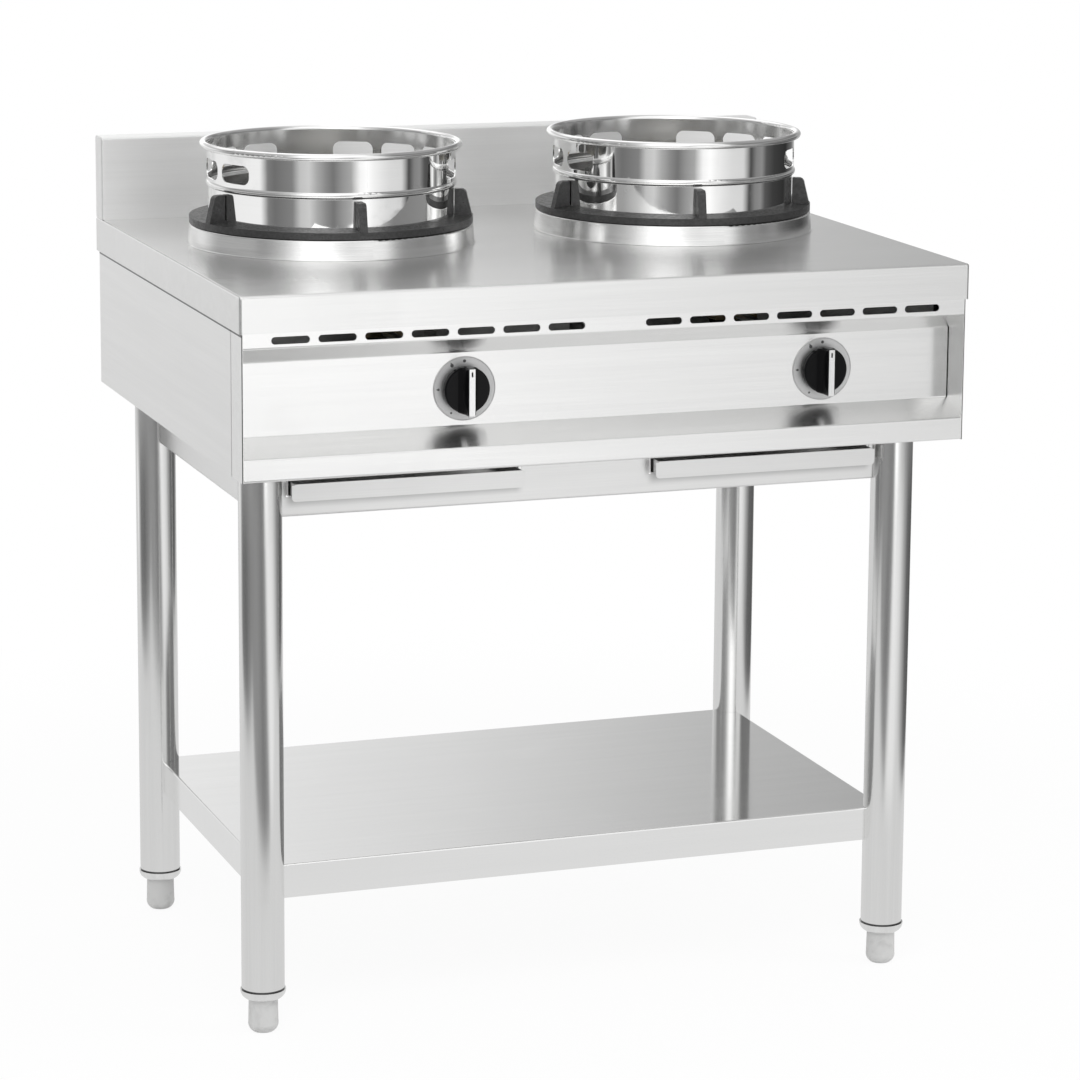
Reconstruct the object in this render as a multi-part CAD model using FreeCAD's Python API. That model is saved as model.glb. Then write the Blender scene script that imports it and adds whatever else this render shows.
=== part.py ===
"""Gas wok range with two burners on an open tube stand: writes one STEP file per piece.

Millimetres. +X is to the right as the cook sees it, +Y to the back, +Z up. The origin is on the floor,
under the middle of the worktop.
"""

import FreeCAD, Part
import math
import os

V = FreeCAD.Vector
UP = V(0, 0, 1)
BACK = V(0, 1, 0)
RIGHT = V(1, 0, 0)

# Worktop and splashback
WIDTH = 900.0
DEPTH = 700.0
WORKTOP_HEIGHT = 895.0
WORKTOP_SHEET = 1.5
WORKTOP_LIP = 43.0
WORKTOP_EDGE_RADIUS = 3.0
SPLASH_HEIGHT = 105.0
SPLASH_DEPTH = 35.0

# Body: heights are measured down from the worktop
BODY_SHEET = 1.5
BEND_RADIUS = 1.5
BODY_INSET = 3.0
BODY_HEIGHT = 214.0
BODY_RETURN = 20.0
SEAM = 0.8
CHEEK_DEPTH = 45.0
PANEL_SETBACK = 42.0
SLOT_BAND = 61.0
PANEL_TOP_DROP = 83.0
PANEL_BOTTOM_DROP = 169.0
LOWER_BAND_DROP = 187.5
VENT_DROP = 52.0
VENT_LENGTH = 45.0
VENT_HEIGHT = 8.6
VENT_PITCH = 55.0
VENT_GROUP_GAP = 60.0
REAR_RECESS = 26.0
REAR_VENT_DROP = 70.0

# Stand
LEG_RADIUS = 25.5
LEG_WALL = 1.5
LEG_INSET_X = 50.0
LEG_INSET_Y = 100.0
COPE_GAP = 0.2
APRON_SHEET = 1.5
APRON_DROP = 62.5
APRON_LEDGE = 25.0
APRON_RETURN = 15.0
SHELF_HEIGHT = 200.5
SHELF_SHEET = 1.2
SHELF_LIP = 41.0
SHELF_EDGE_RADIUS = 2.0
STIFFENER_WIDTH = 70.0
STIFFENER_HEIGHT = 28.0
STIFFENER_BRIM = 15.0

# Levelling feet
FOOT_HEIGHT = 40.0
FOOT_RADIUS = 17.8
FOOT_SOLE_RADIUS = 12.5
FOOT_ROUND = 12.0
FOOT_GAP = 0.3
STUD_RADIUS = 6.0
STUD_CLEARANCE = 0.1
STUD_LENGTH = 52.0
SOCKET_FLANGE = 12.0
SOCKET_RIM_RADIUS = 27.0
SOCKET_RIM = 2.5
SOCKET_PLUG = 28.0
SOCKET_CLEARANCE = 0.2

# Burner places, and the rings that stand over them
BURNER_INSET = 225.0
BURNER_SETBACK = 400.0
LEFT_RING_TURN = 3.5
RIGHT_RING_TURN = 9.0
COLLAR_HEIGHT = 25.0
COLLAR_BORE_RADIUS = 148.5
COLLAR_LEDGE = 25.5
COLLAR_FLARE = 2.0
COLLAR_SKIRT = 30.0
COLLAR_SHEET = 1.5
COLLAR_SEAT_GAP = 0.2
OPENING_CLEARANCE = 0.5
BOWL_SHEET = 1.2
BOWL_WALL = 24.0
BOWL_DEPTH = 66.0
BOWL_THROAT_RADIUS = 92.0
BOWL_THROAT_LIP = 6.0

# Trivet
TRIVET_CLEARANCE = 0.3
TRIVET_THICKNESS = 8.3
TRIVET_CROWN = 2.4
TRIVET_SEAT_MARGIN = 1.3
TRIVET_BORE_INSET = 5.0
TRIVET_SPIGOT = 7.0
TRIVET_SPIGOT_CLEARANCE = 0.8
LUG_COUNT = 5
LUG_HEIGHT = 31.0
LUG_WIDTH = 10.0
LUG_TOP_LENGTH = 15.0
LUG_ROUND = 7.0
LUG_CLEARANCE = 0.9
LUG_TOE_INSET = 0.8

# Wok ring
RING_SHEET = 1.5
RING_OVERHANG = 2.2
RING_STEP = 1.9
RING_LOWER_BAND = 34.0
RING_BEAD = 8.5
RING_BEAD_BULGE = 2.6
RING_UPPER_BAND = 38.0
RING_ROLL_RADIUS = 4.4
RING_CLEARANCE = 0.3
HOLE_LENGTH = 51.0
HOLE_HEIGHT = 23.0
HOLE_ROUND = 9.5
HOLE_PITCH_ANGLE = 23.5
HOLES_EACH_SIDE = 5
HOLE_RISE = 15.5

# Burner casting, its cap and what carries it
NECK_RADIUS = 24.0
CHAMBER_RADIUS = 66.0
CHAMBER_HEIGHT = 18.0
BURNER_WALL = 5.0
BURNER_RISE = 48.0
MIXER_RADIUS = 18.5
MIXER_BORE = 14.5
MIXER_LIFT = 1.5
MIXER_LENGTH = 190.0
MIXER_MOUTH_RADIUS = 27.0
MIXER_MOUTH = 14.0
MIXER_MOUTH_LIP = 2.0
CAP_RADIUS = 71.0
CAP_HEIGHT = 17.0
CAP_WALL = 6.0
CAP_HOLE_RADIUS = 26.0
CAP_ROUND = 2.5
CAP_CLEARANCE = 0.3
CAP_PORTS = 24
PORT_WIDTH = 4.0
PORT_HEIGHT = 7.0
CAP_TOP_DROP = 15.0
BRIDGE_WIDTH = 44.0
BRIDGE_SHEET = 2.5
BRIDGE_FOOT = 22.0
DRIP_OPENING_WIDTH = 250.0
DRIP_OPENING_DEPTH = 330.0
DRIP_OPENING_CORNER = 20.0
JET_RADIUS = 7.0
JET_LENGTH = 22.0
JET_GAP = 8.0
JET_PLATE = 2.5
PIPE_RADIUS = 5.0
PIPE_BORE = 4.0
PIPE_BEND = 14.0
PILOT_ARM = 14.0
PILOT_RADIUS = 4.0
PILOT_HEIGHT = 34.0
PILOT_CAP_GAP = 2.0
PILOT_ANGLE = 225.0

# Knobs, dials and valves
KNOB_OFFSET = 54.5
KNOB_RADIUS = 27.5
KNOB_TRAVEL = 4.0
KNOB_GAP = 1.3
KNOB_SKIRT = 7.0
KNOB_BEVEL = 1.6
KNOB_WALL = 2.5
KNOB_HUB_RADIUS = 9.0
KNOB_FOLD_DEPTH = 2.0
GRIP_HEIGHT = 16.0
GRIP_BASE_WIDTH = 27.0
GRIP_WAIST_WIDTH = 13.0
GRIP_TOP_WIDTH = 9.4
GRIP_OVERHANG = 0.6
INSERT_WIDTH = 7.2
INSERT_THICKNESS = 0.9
POINTER_WIDTH = 2.0
POINTER_LENGTH = 6.0
DIAL_RADIUS = 37.75
DIAL_THICKNESS = 1.0
DIAL_RIM = 1.2
DIAL_RIM_RISE = 0.4
SPINDLE_RADIUS = 4.0
SPINDLE_FLAT = 3.0
SPINDLE_CLEARANCE = 0.05
SPINDLE_HOLE_GAP = 2.0
SPINDLE_GRIP = 12.0
VALVE_FLANGE = 34.0
VALVE_FLANGE_SHEET = 2.0
VALVE_RADIUS = 15.0
VALVE_LENGTH = 60.0
VALVE_NOSE = 12.0
VALVE_END_WALL = 10.0
PLUG_RADIUS = 10.0
PLUG_TAPER = 2.0
PLUG_CLEARANCE = 0.05
PLUG_END_GAP = 0.4
SPINDLE_ENGAGED = 14.0
OUTLET_RADIUS = 8.0
OUTLET_RISE = 11.0

# Gas manifold
MANIFOLD_RADIUS = 10.65
MANIFOLD_WALL = 2.6
MANIFOLD_SETBACK = 30.0
MANIFOLD_END = 35.0
MANIFOLD_BEND = 40.0
MANIFOLD_SIDE_GAP = 40.0
INLET_THREAD_RADIUS = 10.475
INLET_THREAD_LENGTH = 15.0
INLET_RIM_GAP = 1.0
INLET_HOLE_CLEARANCE = 1.5
SADDLE_WIDTH = 22.0

# Drip trays
TRAY_SHEET = 1.2
TRAY_LEG_GAP = 10.5
TRAY_WALL = 17.0
TRAY_REACH = 4.0
TRAY_LIFT = 0.3
TRAY_FRONT_OVERHANG = 3.5
TRAY_FRONT_HEIGHT = 19.5
TRAY_FRONT_DROP = 3.5
TRAY_FRONT_SETOUT = 20.0
TRAY_CORNER = 5.0
TRAY_TOP_DROP = 20.5
TRAY_SLOT_SIDE_GAP = 5.0
TRAY_SLOT_TOP_GAP = 15.0
RUNNER_SHEET = 1.5
RUNNER_LEDGE = 14.0
RUNNER_HEIGHT = 22.0
RUNNER_SIDE_GAP = 2.0

# Screws under the body
SCREWS_FROM_FRONT = (37.0, 142.0, 176.0)
SCREWS_FROM_REAR = (57.0, 166.0)
SCREW_RADIUS = 2.0
SCREW_HEAD_RADIUS = 3.6
SCREW_HEAD = 2.4
SCREW_INSET = 12.0
SCREW_CLEARANCE = 0.2
SCREW_LENGTH = 7.0

# Every cut runs this far past the faces that it opens
PAST = 1.0

# Places that follow from the sizes above
FRONT = -DEPTH / 2
REAR = DEPTH / 2
BURNER_X = WIDTH / 2 - BURNER_INSET
BURNER_Y = FRONT + BURNER_SETBACK
BODY_HALF = WIDTH / 2 - BODY_INSET
BODY_FRONT = FRONT + BODY_INSET
BODY_REAR = REAR - WORKTOP_SHEET
BODY_TOP = WORKTOP_HEIGHT - WORKTOP_SHEET
BODY_BOTTOM = WORKTOP_HEIGHT - BODY_HEIGHT
FLOOR_LOW = BODY_BOTTOM + BODY_SHEET
FLOOR_TOP = FLOOR_LOW + BODY_SHEET
PANEL_FRONT = BODY_FRONT + PANEL_SETBACK
PANEL_BACK = PANEL_FRONT + BODY_SHEET
KNOB_HEIGHT = WORKTOP_HEIGHT - (PANEL_TOP_DROP + PANEL_BOTTOM_DROP) / 2
REAR_PANEL = REAR - REAR_RECESS
LEG_X = WIDTH / 2 - LEG_INSET_X
LEG_Y = DEPTH / 2 - LEG_INSET_Y
LEG_BOTTOM = FOOT_HEIGHT + SOCKET_FLANGE
LEG_BORE = LEG_RADIUS - LEG_WALL
APRON_BOTTOM = BODY_BOTTOM - APRON_DROP
COLLAR_TOP = WORKTOP_HEIGHT + COLLAR_HEIGHT
COLLAR_TOP_RADIUS = COLLAR_BORE_RADIUS + COLLAR_LEDGE
COLLAR_BASE_RADIUS = COLLAR_TOP_RADIUS + COLLAR_FLARE
OPENING_RADIUS = COLLAR_BORE_RADIUS + OPENING_CLEARANCE
RING_RADIUS = COLLAR_BORE_RADIUS + RING_OVERHANG
TRIVET_BORE_RADIUS = COLLAR_BORE_RADIUS - TRIVET_BORE_INSET
TRIVET_SEAT_RADIUS = RING_RADIUS + TRIVET_SEAT_MARGIN
TRIVET_BOTTOM = COLLAR_TOP + TRIVET_CLEARANCE
TRIVET_SEAT = TRIVET_BOTTOM + TRIVET_THICKNESS + TRIVET_CROWN
RING_BOTTOM = TRIVET_SEAT + RING_CLEARANCE
RING_UPPER_RADIUS = RING_RADIUS + RING_STEP
RING_BEAD_BOTTOM = RING_BOTTOM + RING_LOWER_BAND
RING_BEAD_TOP = RING_BEAD_BOTTOM + RING_BEAD
RING_BAND_TOP = RING_BEAD_TOP + RING_UPPER_BAND
CAP_TOP = WORKTOP_HEIGHT - CAP_TOP_DROP
CAP_BOTTOM = CAP_TOP - CAP_HEIGHT
CHAMBER_TOP = CAP_BOTTOM - CAP_CLEARANCE
CHAMBER_BOTTOM = CHAMBER_TOP - CHAMBER_HEIGHT
BURNER_BASE = CHAMBER_BOTTOM - BURNER_RISE
MIXER_HEIGHT = BURNER_BASE + MIXER_RADIUS + MIXER_LIFT
MIXER_END = BURNER_Y - MIXER_LENGTH
JET_FRONT = MIXER_END - JET_GAP
JET_BACK = JET_FRONT - JET_LENGTH
DIAL_FRONT = PANEL_FRONT - DIAL_THICKNESS
KNOB_BACK = DIAL_FRONT - KNOB_TRAVEL - KNOB_GAP
KNOB_FACE = KNOB_BACK - KNOB_SKIRT
GRIP_FACE = KNOB_FACE - GRIP_HEIGHT
VALVE_FRONT = PANEL_BACK
VALVE_BACK = VALVE_FRONT + VALVE_LENGTH
PLUG_CHAMBER_FRONT = VALVE_FRONT + VALVE_NOSE
PLUG_CHAMBER_BACK = VALVE_BACK - VALVE_END_WALL
SPINDLE_BACK = PLUG_CHAMBER_FRONT + SPINDLE_ENGAGED
MANIFOLD_Y = PANEL_BACK + MANIFOLD_SETBACK
MANIFOLD_HEIGHT = KNOB_HEIGHT - VALVE_RADIUS - MANIFOLD_RADIUS
INLET_X = BODY_HALF - MANIFOLD_SIDE_GAP
INLET_END = REAR - INLET_RIM_GAP
OUTLET_Y = MANIFOLD_Y
OUTLET_TOP = KNOB_HEIGHT + VALVE_RADIUS + OUTLET_RISE
TRAY_HALF = LEG_X - LEG_RADIUS - TRAY_LEG_GAP - BURNER_X
TRAY_TOP = BODY_BOTTOM - TRAY_TOP_DROP
TRAY_BOTTOM = TRAY_TOP - TRAY_WALL
TRAY_FRONT = -LEG_Y - TRAY_FRONT_SETOUT
TRAY_BACK = BURNER_Y + COLLAR_BORE_RADIUS + TRAY_REACH
RUNNER_TOP = TRAY_BOTTOM - TRAY_LIFT

SCREW_PLACES = [FRONT + y for y in SCREWS_FROM_FRONT] + [REAR - y for y in SCREWS_FROM_REAR]
VENT_COUNT = int((2 * BURNER_X - VENT_GROUP_GAP) / VENT_PITCH)

SIDES = {"left": -1, "right": 1}
RING_TURNS = {"left": LEFT_RING_TURN, "right": RIGHT_RING_TURN}


def burner_x(side):
    return SIDES[side] * BURNER_X


def knob_x(side):
    return burner_x(side) + KNOB_OFFSET


def block(x0, x1, y0, y1, z0, z1):
    """Box between two corners."""
    return Part.makeBox(x1 - x0, y1 - y0, z1 - z0, V(x0, y0, z0))


def post(radius, x, y, z0, z1):
    """Upright cylinder."""
    return Part.makeCylinder(radius, z1 - z0, V(x, y, z0), UP)


def rod(radius, x, z, y0, y1):
    """Cylinder that runs front to back."""
    return Part.makeCylinder(radius, y1 - y0, V(x, y0, z), BACK)


def outline(place, start, *steps):
    """Closed face: each step is a point to draw a line to, or a pair (middle, end) of points for an arc."""
    edges = []
    here = place(*start)
    for step in steps + (start,):
        if isinstance(step[0], tuple):
            middle, end = place(*step[0]), place(*step[1])
            edges.append(Part.Arc(here, middle, end).toShape())
        else:
            end = place(*step)
            if (end - here).Length > 1e-6:
                edges.append(Part.LineSegment(here, end).toShape())
        here = end
    return Part.Face(Part.Wire(edges))


def bend_arc(before, corner, after, sheet, inner_radius):
    """Tangent points and arc middles of one bend, on the drawn side and on the sheet's other side."""
    one = V(corner[0] - before[0], corner[1] - before[1], 0).normalize()
    two = V(after[0] - corner[0], after[1] - corner[1], 0).normalize()
    cross = one.x * two.y - one.y * two.x
    side = math.copysign(1.0, cross)
    angle = abs(math.atan2(cross, one.x * two.x + one.y * two.y))
    drawn = inner_radius + (abs(sheet) if side * sheet > 0 else 0.0)
    other = drawn - side * sheet
    point = V(corner[0], corner[1], 0)
    first = point - one * (drawn * math.tan(angle / 2))
    centre = first + V(-one.y, one.x, 0) * (side * drawn)
    toward = (point - centre).normalize()
    normals = (V(one.y, -one.x, 0) * side, toward, V(two.y, -two.x, 0) * side)
    return [[centre + n * radius for n in normals] for radius in (drawn, other)]


def folded(place, sheet, inner_radius, *points):
    """Section of a folded sheet. The points are its drawn side, and the sheet lies to their left, or to
    their right if sheet is negative. Each bend is an arc with the given inner radius."""
    def shifted(index, other):
        a = V(points[other][0] - points[index][0], points[other][1] - points[index][1], 0).normalize()
        if other < index:
            a = a * -1
        return V(points[index][0], points[index][1], 0) + V(-a.y, a.x, 0) * sheet

    last = len(points) - 1
    bends = [
        bend_arc(points[i - 1], points[i], points[i + 1], sheet, inner_radius) for i in range(1, last)
    ]
    steps = []
    for drawn, _ in bends:
        steps += [(drawn[0].x, drawn[0].y), ((drawn[1].x, drawn[1].y), (drawn[2].x, drawn[2].y))]
    steps.append(points[last])
    end = shifted(last, last - 1)
    steps.append((end.x, end.y))
    for _, other in reversed(bends):
        steps += [(other[2].x, other[2].y), ((other[1].x, other[1].y), (other[0].x, other[0].y))]
    start = shifted(0, 1)
    steps.append((start.x, start.y))
    return outline(place, points[0], *steps)


def side_view(y, z):
    """A sheet drawn as (y, z), to be drawn out along X."""
    return V(0, y, z)


def front_view(x, z):
    """A sheet drawn as (x, z), to be drawn out along Y."""
    return V(x, 0, z)


def plan_view(x, y):
    """A sheet drawn as (x, y), to be drawn out along Z."""
    return V(x, y, 0)


def radius_view(r, z):
    """A section drawn as (radius, height), to be turned about Z."""
    return V(r, 0, z)


def nose_view(r, y):
    """A section drawn as (radius, y), to be turned about a front-to-back axis."""
    return V(r, y, 0)


def along_x(face, x0, x1):
    solid = face.extrude(RIGHT * (x1 - x0))
    solid.translate(V(x0, 0, 0))
    return solid


def along_y(face, y0, y1):
    solid = face.extrude(BACK * (y1 - y0))
    solid.translate(V(0, y0, 0))
    return solid


def along_z(face, z0, z1):
    solid = face.extrude(UP * (z1 - z0))
    solid.translate(V(0, 0, z0))
    return solid


def turned(face, x, y):
    """Full turn about an upright axis."""
    solid = face.revolve(V(0, 0, 0), UP, 360)
    solid.translate(V(x, y, 0))
    return solid


def turned_nose(face, x, z):
    """Full turn about an axis that runs front to back."""
    solid = face.revolve(V(0, 0, 0), BACK, 360)
    solid.translate(V(x, 0, z))
    return solid


def centre_of(edge):
    return edge.BoundBox.Center


def rounded(solid, radius, test):
    """Rounds the edges whose middle point passes the test."""
    edges = [edge for edge in solid.Edges if test(centre_of(edge))]
    return solid.makeFillet(radius, edges)


def near(a, b):
    return abs(a - b) < 1e-6


def slot_face(place, u, v, length, height, radius):
    """Slot or rounded rectangle, centred on (u, v)."""
    a, b, r = length / 2, height / 2, min(radius, length / 2 - 0.1, height / 2 - 0.1)
    k = r * (1 - math.sqrt(0.5))
    return outline(
        place,
        (u - a + r, v - b),
        (u + a - r, v - b),
        ((u + a - k, v - b + k), (u + a, v - b + r)),
        (u + a, v + b - r),
        ((u + a - k, v + b - k), (u + a - r, v + b)),
        (u - a + r, v + b),
        ((u - a + k, v + b - k), (u - a, v + b - r)),
        (u - a, v - b + r),
        ((u - a + k, v - b + k), (u - a + r, v - b)),
    )


def bent_tube(points, bend, radius, bore):
    """Tube along straight runs that are joined by tangent arcs. With bore 0 it is a solid rod."""
    edges = []
    here = points[0]
    for before, corner, after in zip(points, points[1:], points[2:]):
        one = (corner - before).normalize()
        two = (after - corner).normalize()
        angle = one.getAngle(two)
        cut = bend * math.tan(angle / 2)
        first, last = corner - one * cut, corner + two * cut
        inward = (two - one).normalize()
        middle = corner + inward * (bend / math.cos(angle / 2) - bend)
        edges.append(Part.LineSegment(here, first).toShape())
        edges.append(Part.Arc(first, middle, last).toShape())
        here = last
    edges.append(Part.LineSegment(here, points[-1]).toShape())
    path = Part.Wire(edges)
    heading = (points[1] - points[0]).normalize()

    def swept(r):
        ring = Part.Wire(Part.makeCircle(r, points[0], heading))
        return path.makePipeShell([ring], True, False)

    return swept(radius).cut(swept(bore)) if bore else swept(radius)


def one_piece(shape):
    """The single solid of a boolean result, with its split faces joined again."""
    shape = shape.removeSplitter()
    return shape.Solids[0] if len(shape.Solids) == 1 else shape


# ---- Worktop, splashback and body ----

def worktop():
    """Pressed sheet: top plate with a front lip and side lips, and a round opening for each burner."""
    half = WIDTH / 2
    low, t = WORKTOP_HEIGHT - WORKTOP_LIP, WORKTOP_SHEET

    def shell(inset, radius, rear, bottom):
        side, front, top = half - inset, FRONT + inset, WORKTOP_HEIGHT - inset
        solid = block(-side, side, front, rear, bottom, top)

        def folded_edge(c):
            at_front, at_side, at_top = near(c.y, front), near(abs(c.x), side), near(c.z, top)
            return (at_front and at_side) or (at_front and at_top) or (at_side and at_top)

        return rounded(solid, radius, folded_edge)

    inner_radius = max(WORKTOP_EDGE_RADIUS - t, 0.3)
    solid = shell(0, WORKTOP_EDGE_RADIUS, REAR - t, low)
    solid = solid.cut(shell(t, inner_radius, REAR + t, low - t))
    openings = [
        post(OPENING_RADIUS, burner_x(side), BURNER_Y, WORKTOP_HEIGHT - 2 * t, WORKTOP_HEIGHT + t)
        for side in SIDES
    ]
    return one_piece(solid.cut(openings))


def splashback():
    """Folded box along the rear edge, whose back skin covers the worktop's open rear."""
    half, t = WIDTH / 2, WORKTOP_SHEET
    top = WORKTOP_HEIGHT + SPLASH_HEIGHT
    outer = block(-half, half, REAR - SPLASH_DEPTH, REAR, WORKTOP_HEIGHT, top)

    def folded_edge(c):
        at_side, at_top = near(abs(c.x), half), near(c.z, top)
        at_face = near(c.y, REAR - SPLASH_DEPTH) or near(c.y, REAR)
        return (at_side and at_top) or (at_top and at_face) or (at_side and at_face)

    outer = rounded(outer, WORKTOP_EDGE_RADIUS, folded_edge)
    inner = block(
        -half + t, half - t, REAR - SPLASH_DEPTH + t, REAR - t, WORKTOP_HEIGHT - t, top - t
    )
    back_half = half - WORKTOP_EDGE_RADIUS
    skirt = block(-back_half, back_half, REAR - t, REAR, WORKTOP_HEIGHT - WORKTOP_LIP, WORKTOP_HEIGHT)
    return one_piece(outer.cut(inner).fuse(skirt))


def vent_slots(y0, y1, drop):
    """Two groups of slots, one in front of or behind each burner."""
    slots = []
    for side in SIDES:
        for i in range(VENT_COUNT):
            x = burner_x(side) + (i - (VENT_COUNT - 1) / 2) * VENT_PITCH
            face = slot_face(
                front_view, x, WORKTOP_HEIGHT - drop, VENT_LENGTH, VENT_HEIGHT, VENT_HEIGHT / 2
            )
            slots.append(along_y(face, y0, y1))
    return slots


def screw_holes():
    radius = SCREW_RADIUS + SCREW_CLEARANCE
    return [
        post(radius, sign * (BODY_HALF - SCREW_INSET), y, BODY_BOTTOM - PAST, FLOOR_TOP + PAST)
        for sign in SIDES.values()
        for y in SCREW_PLACES
    ]


def front_fascia():
    """One folded sheet: slotted band, sloping reveal, set-back panel, reveal, lower band and return, with a
    flat cheek closing each end."""
    t = BODY_SHEET
    top, edge = WORKTOP_HEIGHT, BODY_HALF - BODY_SHEET
    face = folded(
        side_view, t, BEND_RADIUS,
        (BODY_FRONT, BODY_TOP),
        (BODY_FRONT, top - SLOT_BAND),
        (PANEL_FRONT, top - PANEL_TOP_DROP),
        (PANEL_FRONT, top - PANEL_BOTTOM_DROP),
        (BODY_FRONT, top - LOWER_BAND_DROP),
        (BODY_FRONT, BODY_BOTTOM),
        (BODY_FRONT + CHEEK_DEPTH, BODY_BOTTOM),
    )
    solid = along_x(face, -edge, edge)
    cheeks = [
        block(x, x + t, BODY_FRONT, BODY_FRONT + CHEEK_DEPTH, BODY_BOTTOM, BODY_TOP)
        for x in (-BODY_HALF, edge)
    ]
    holes = [
        rod(
            SPINDLE_RADIUS + SPINDLE_HOLE_GAP, knob_x(side), KNOB_HEIGHT,
            PANEL_FRONT - PAST, PANEL_BACK + PAST
        )
        for side in SIDES
    ]
    slots = vent_slots(BODY_FRONT - t, BODY_FRONT + 2 * t, VENT_DROP)
    return one_piece(solid.fuse(cheeks).cut(holes + slots + screw_holes()))


def side_panel(side):
    """Upright panel with returns at the front and the rear, and a ledge under the body floor."""
    sign, t = SIDES[side], BODY_SHEET
    y0 = BODY_FRONT + CHEEK_DEPTH + SEAM
    inner = BODY_HALF - BODY_RETURN
    face = folded(
        plan_view, -sign * t, BEND_RADIUS,
        (sign * inner, BODY_REAR),
        (sign * BODY_HALF, BODY_REAR),
        (sign * BODY_HALF, y0),
        (sign * inner, y0),
    )
    solid = along_z(face, BODY_BOTTOM, BODY_TOP)
    a, b = sorted((sign * inner, sign * (BODY_HALF - t / 2)))
    ledge = block(a, b, y0 + t / 2, BODY_REAR - t / 2, BODY_BOTTOM, FLOOR_LOW)
    return one_piece(solid.fuse(ledge).cut(screw_holes()))


def rear_panel():
    """Flat panel set in from the rear, with vent slots and the hole that the gas inlet passes."""
    edge = BODY_HALF - BODY_SHEET
    solid = block(-edge, edge, REAR_PANEL, REAR_PANEL + BODY_SHEET, FLOOR_TOP, BODY_TOP)
    hole = rod(
        MANIFOLD_RADIUS + INLET_HOLE_CLEARANCE, INLET_X, MANIFOLD_HEIGHT, REAR_PANEL - PAST, REAR
    )
    slots = vent_slots(REAR_PANEL - PAST, REAR_PANEL + BODY_SHEET + PAST, REAR_VENT_DROP)
    return one_piece(solid.cut(slots + [hole]))


def body_floor():
    """Bottom sheet that lies on the ledges and the stand, with an opening over each drip tray. It is notched
    round the side panels' front returns."""
    edge = BODY_HALF - BODY_SHEET
    y0 = BODY_FRONT + BODY_SHEET + BEND_RADIUS
    solid = block(-edge, edge, y0, REAR_PANEL + BODY_SHEET, FLOOR_LOW, FLOOR_TOP)
    openings = []
    for side in SIDES:
        face = slot_face(
            plan_view, burner_x(side), BURNER_Y, DRIP_OPENING_WIDTH, DRIP_OPENING_DEPTH,
            DRIP_OPENING_CORNER
        )
        openings.append(along_z(face, FLOOR_LOW - PAST, FLOOR_TOP + PAST))
    seam_y = BODY_FRONT + CHEEK_DEPTH + SEAM
    notches = []
    for sign in SIDES.values():
        a, b = sorted((sign * (BODY_HALF - BODY_RETURN - COPE_GAP), sign * BODY_HALF))
        y0, y1 = seam_y - COPE_GAP, seam_y + BODY_SHEET + BEND_RADIUS
        notches.append(block(a, b, y0, y1, FLOOR_LOW - PAST, FLOOR_TOP + PAST))
    return one_piece(solid.cut(openings + notches + screw_holes()))


def panel_screws():
    """Pan-head screws up through the ledges into the body floor."""
    r, head = SCREW_RADIUS, SCREW_HEAD_RADIUS
    low = BODY_BOTTOM - SCREW_HEAD
    face = outline(
        radius_view,
        (0, low),
        (head * 0.6, low),
        ((head * 0.9, low + SCREW_HEAD * 0.3), (head, BODY_BOTTOM)),
        (r, BODY_BOTTOM),
        (r, BODY_BOTTOM + SCREW_LENGTH),
        (0, BODY_BOTTOM + SCREW_LENGTH),
    )
    return Part.makeCompound([
        turned(face, sign * (BODY_HALF - SCREW_INSET), y)
        for sign in SIDES.values()
        for y in SCREW_PLACES
    ])


# ---- Stand ----

def leg_places():
    return {
        "front_left": (-LEG_X, -LEG_Y),
        "front_right": (LEG_X, -LEG_Y),
        "rear_left": (-LEG_X, LEG_Y),
        "rear_right": (LEG_X, LEG_Y),
    }


def leg(x, y):
    """Round tube from its socket up to the body floor."""
    outer = post(LEG_RADIUS, x, y, LEG_BOTTOM, FLOOR_LOW)
    return outer.cut(post(LEG_BORE, x, y, LEG_BOTTOM - PAST, FLOOR_LOW + PAST))


def leg_clearances(radius_gap):
    return [
        post(LEG_RADIUS + radius_gap, x, y, LEG_BOTTOM, FLOOR_LOW + PAST) for x, y in leg_places().values()
    ]


def leg_inserts():
    """Sockets pressed into the four leg ends: a dished flange, a plug in the tube and a bore for the stud."""
    plug = LEG_BORE - SOCKET_CLEARANCE
    bore = STUD_RADIUS + STUD_CLEARANCE
    rim, neck = SOCKET_RIM_RADIUS, FOOT_RADIUS
    rim_low = LEG_BOTTOM - SOCKET_RIM
    face = outline(
        radius_view,
        (bore, FOOT_HEIGHT),
        (neck, FOOT_HEIGHT),
        ((rim - (rim - neck) * 0.32, FOOT_HEIGHT + (rim_low - FOOT_HEIGHT) * 0.36), (rim, rim_low)),
        (rim, LEG_BOTTOM),
        (plug, LEG_BOTTOM),
        (plug, LEG_BOTTOM + SOCKET_PLUG),
        (bore, LEG_BOTTOM + SOCKET_PLUG),
    )
    return Part.makeCompound([turned(face, x, y) for x, y in leg_places().values()])


def foot(x, y):
    """Bullet foot with a round sole edge, on a stud that screws into the socket."""
    sole, r = FOOT_SOLE_RADIUS, FOOT_RADIUS
    top = FOOT_HEIGHT - FOOT_GAP
    bulge = (sole + (r - sole) * 0.75, FOOT_ROUND * 0.35)
    face = outline(
        radius_view,
        (0, 0),
        (sole, 0),
        (bulge, (r, FOOT_ROUND)),
        (r * 0.97, top),
        (STUD_RADIUS, top),
        (STUD_RADIUS, top + STUD_LENGTH),
        (0, top + STUD_LENGTH),
    )
    return turned(face, x, y)


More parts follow.
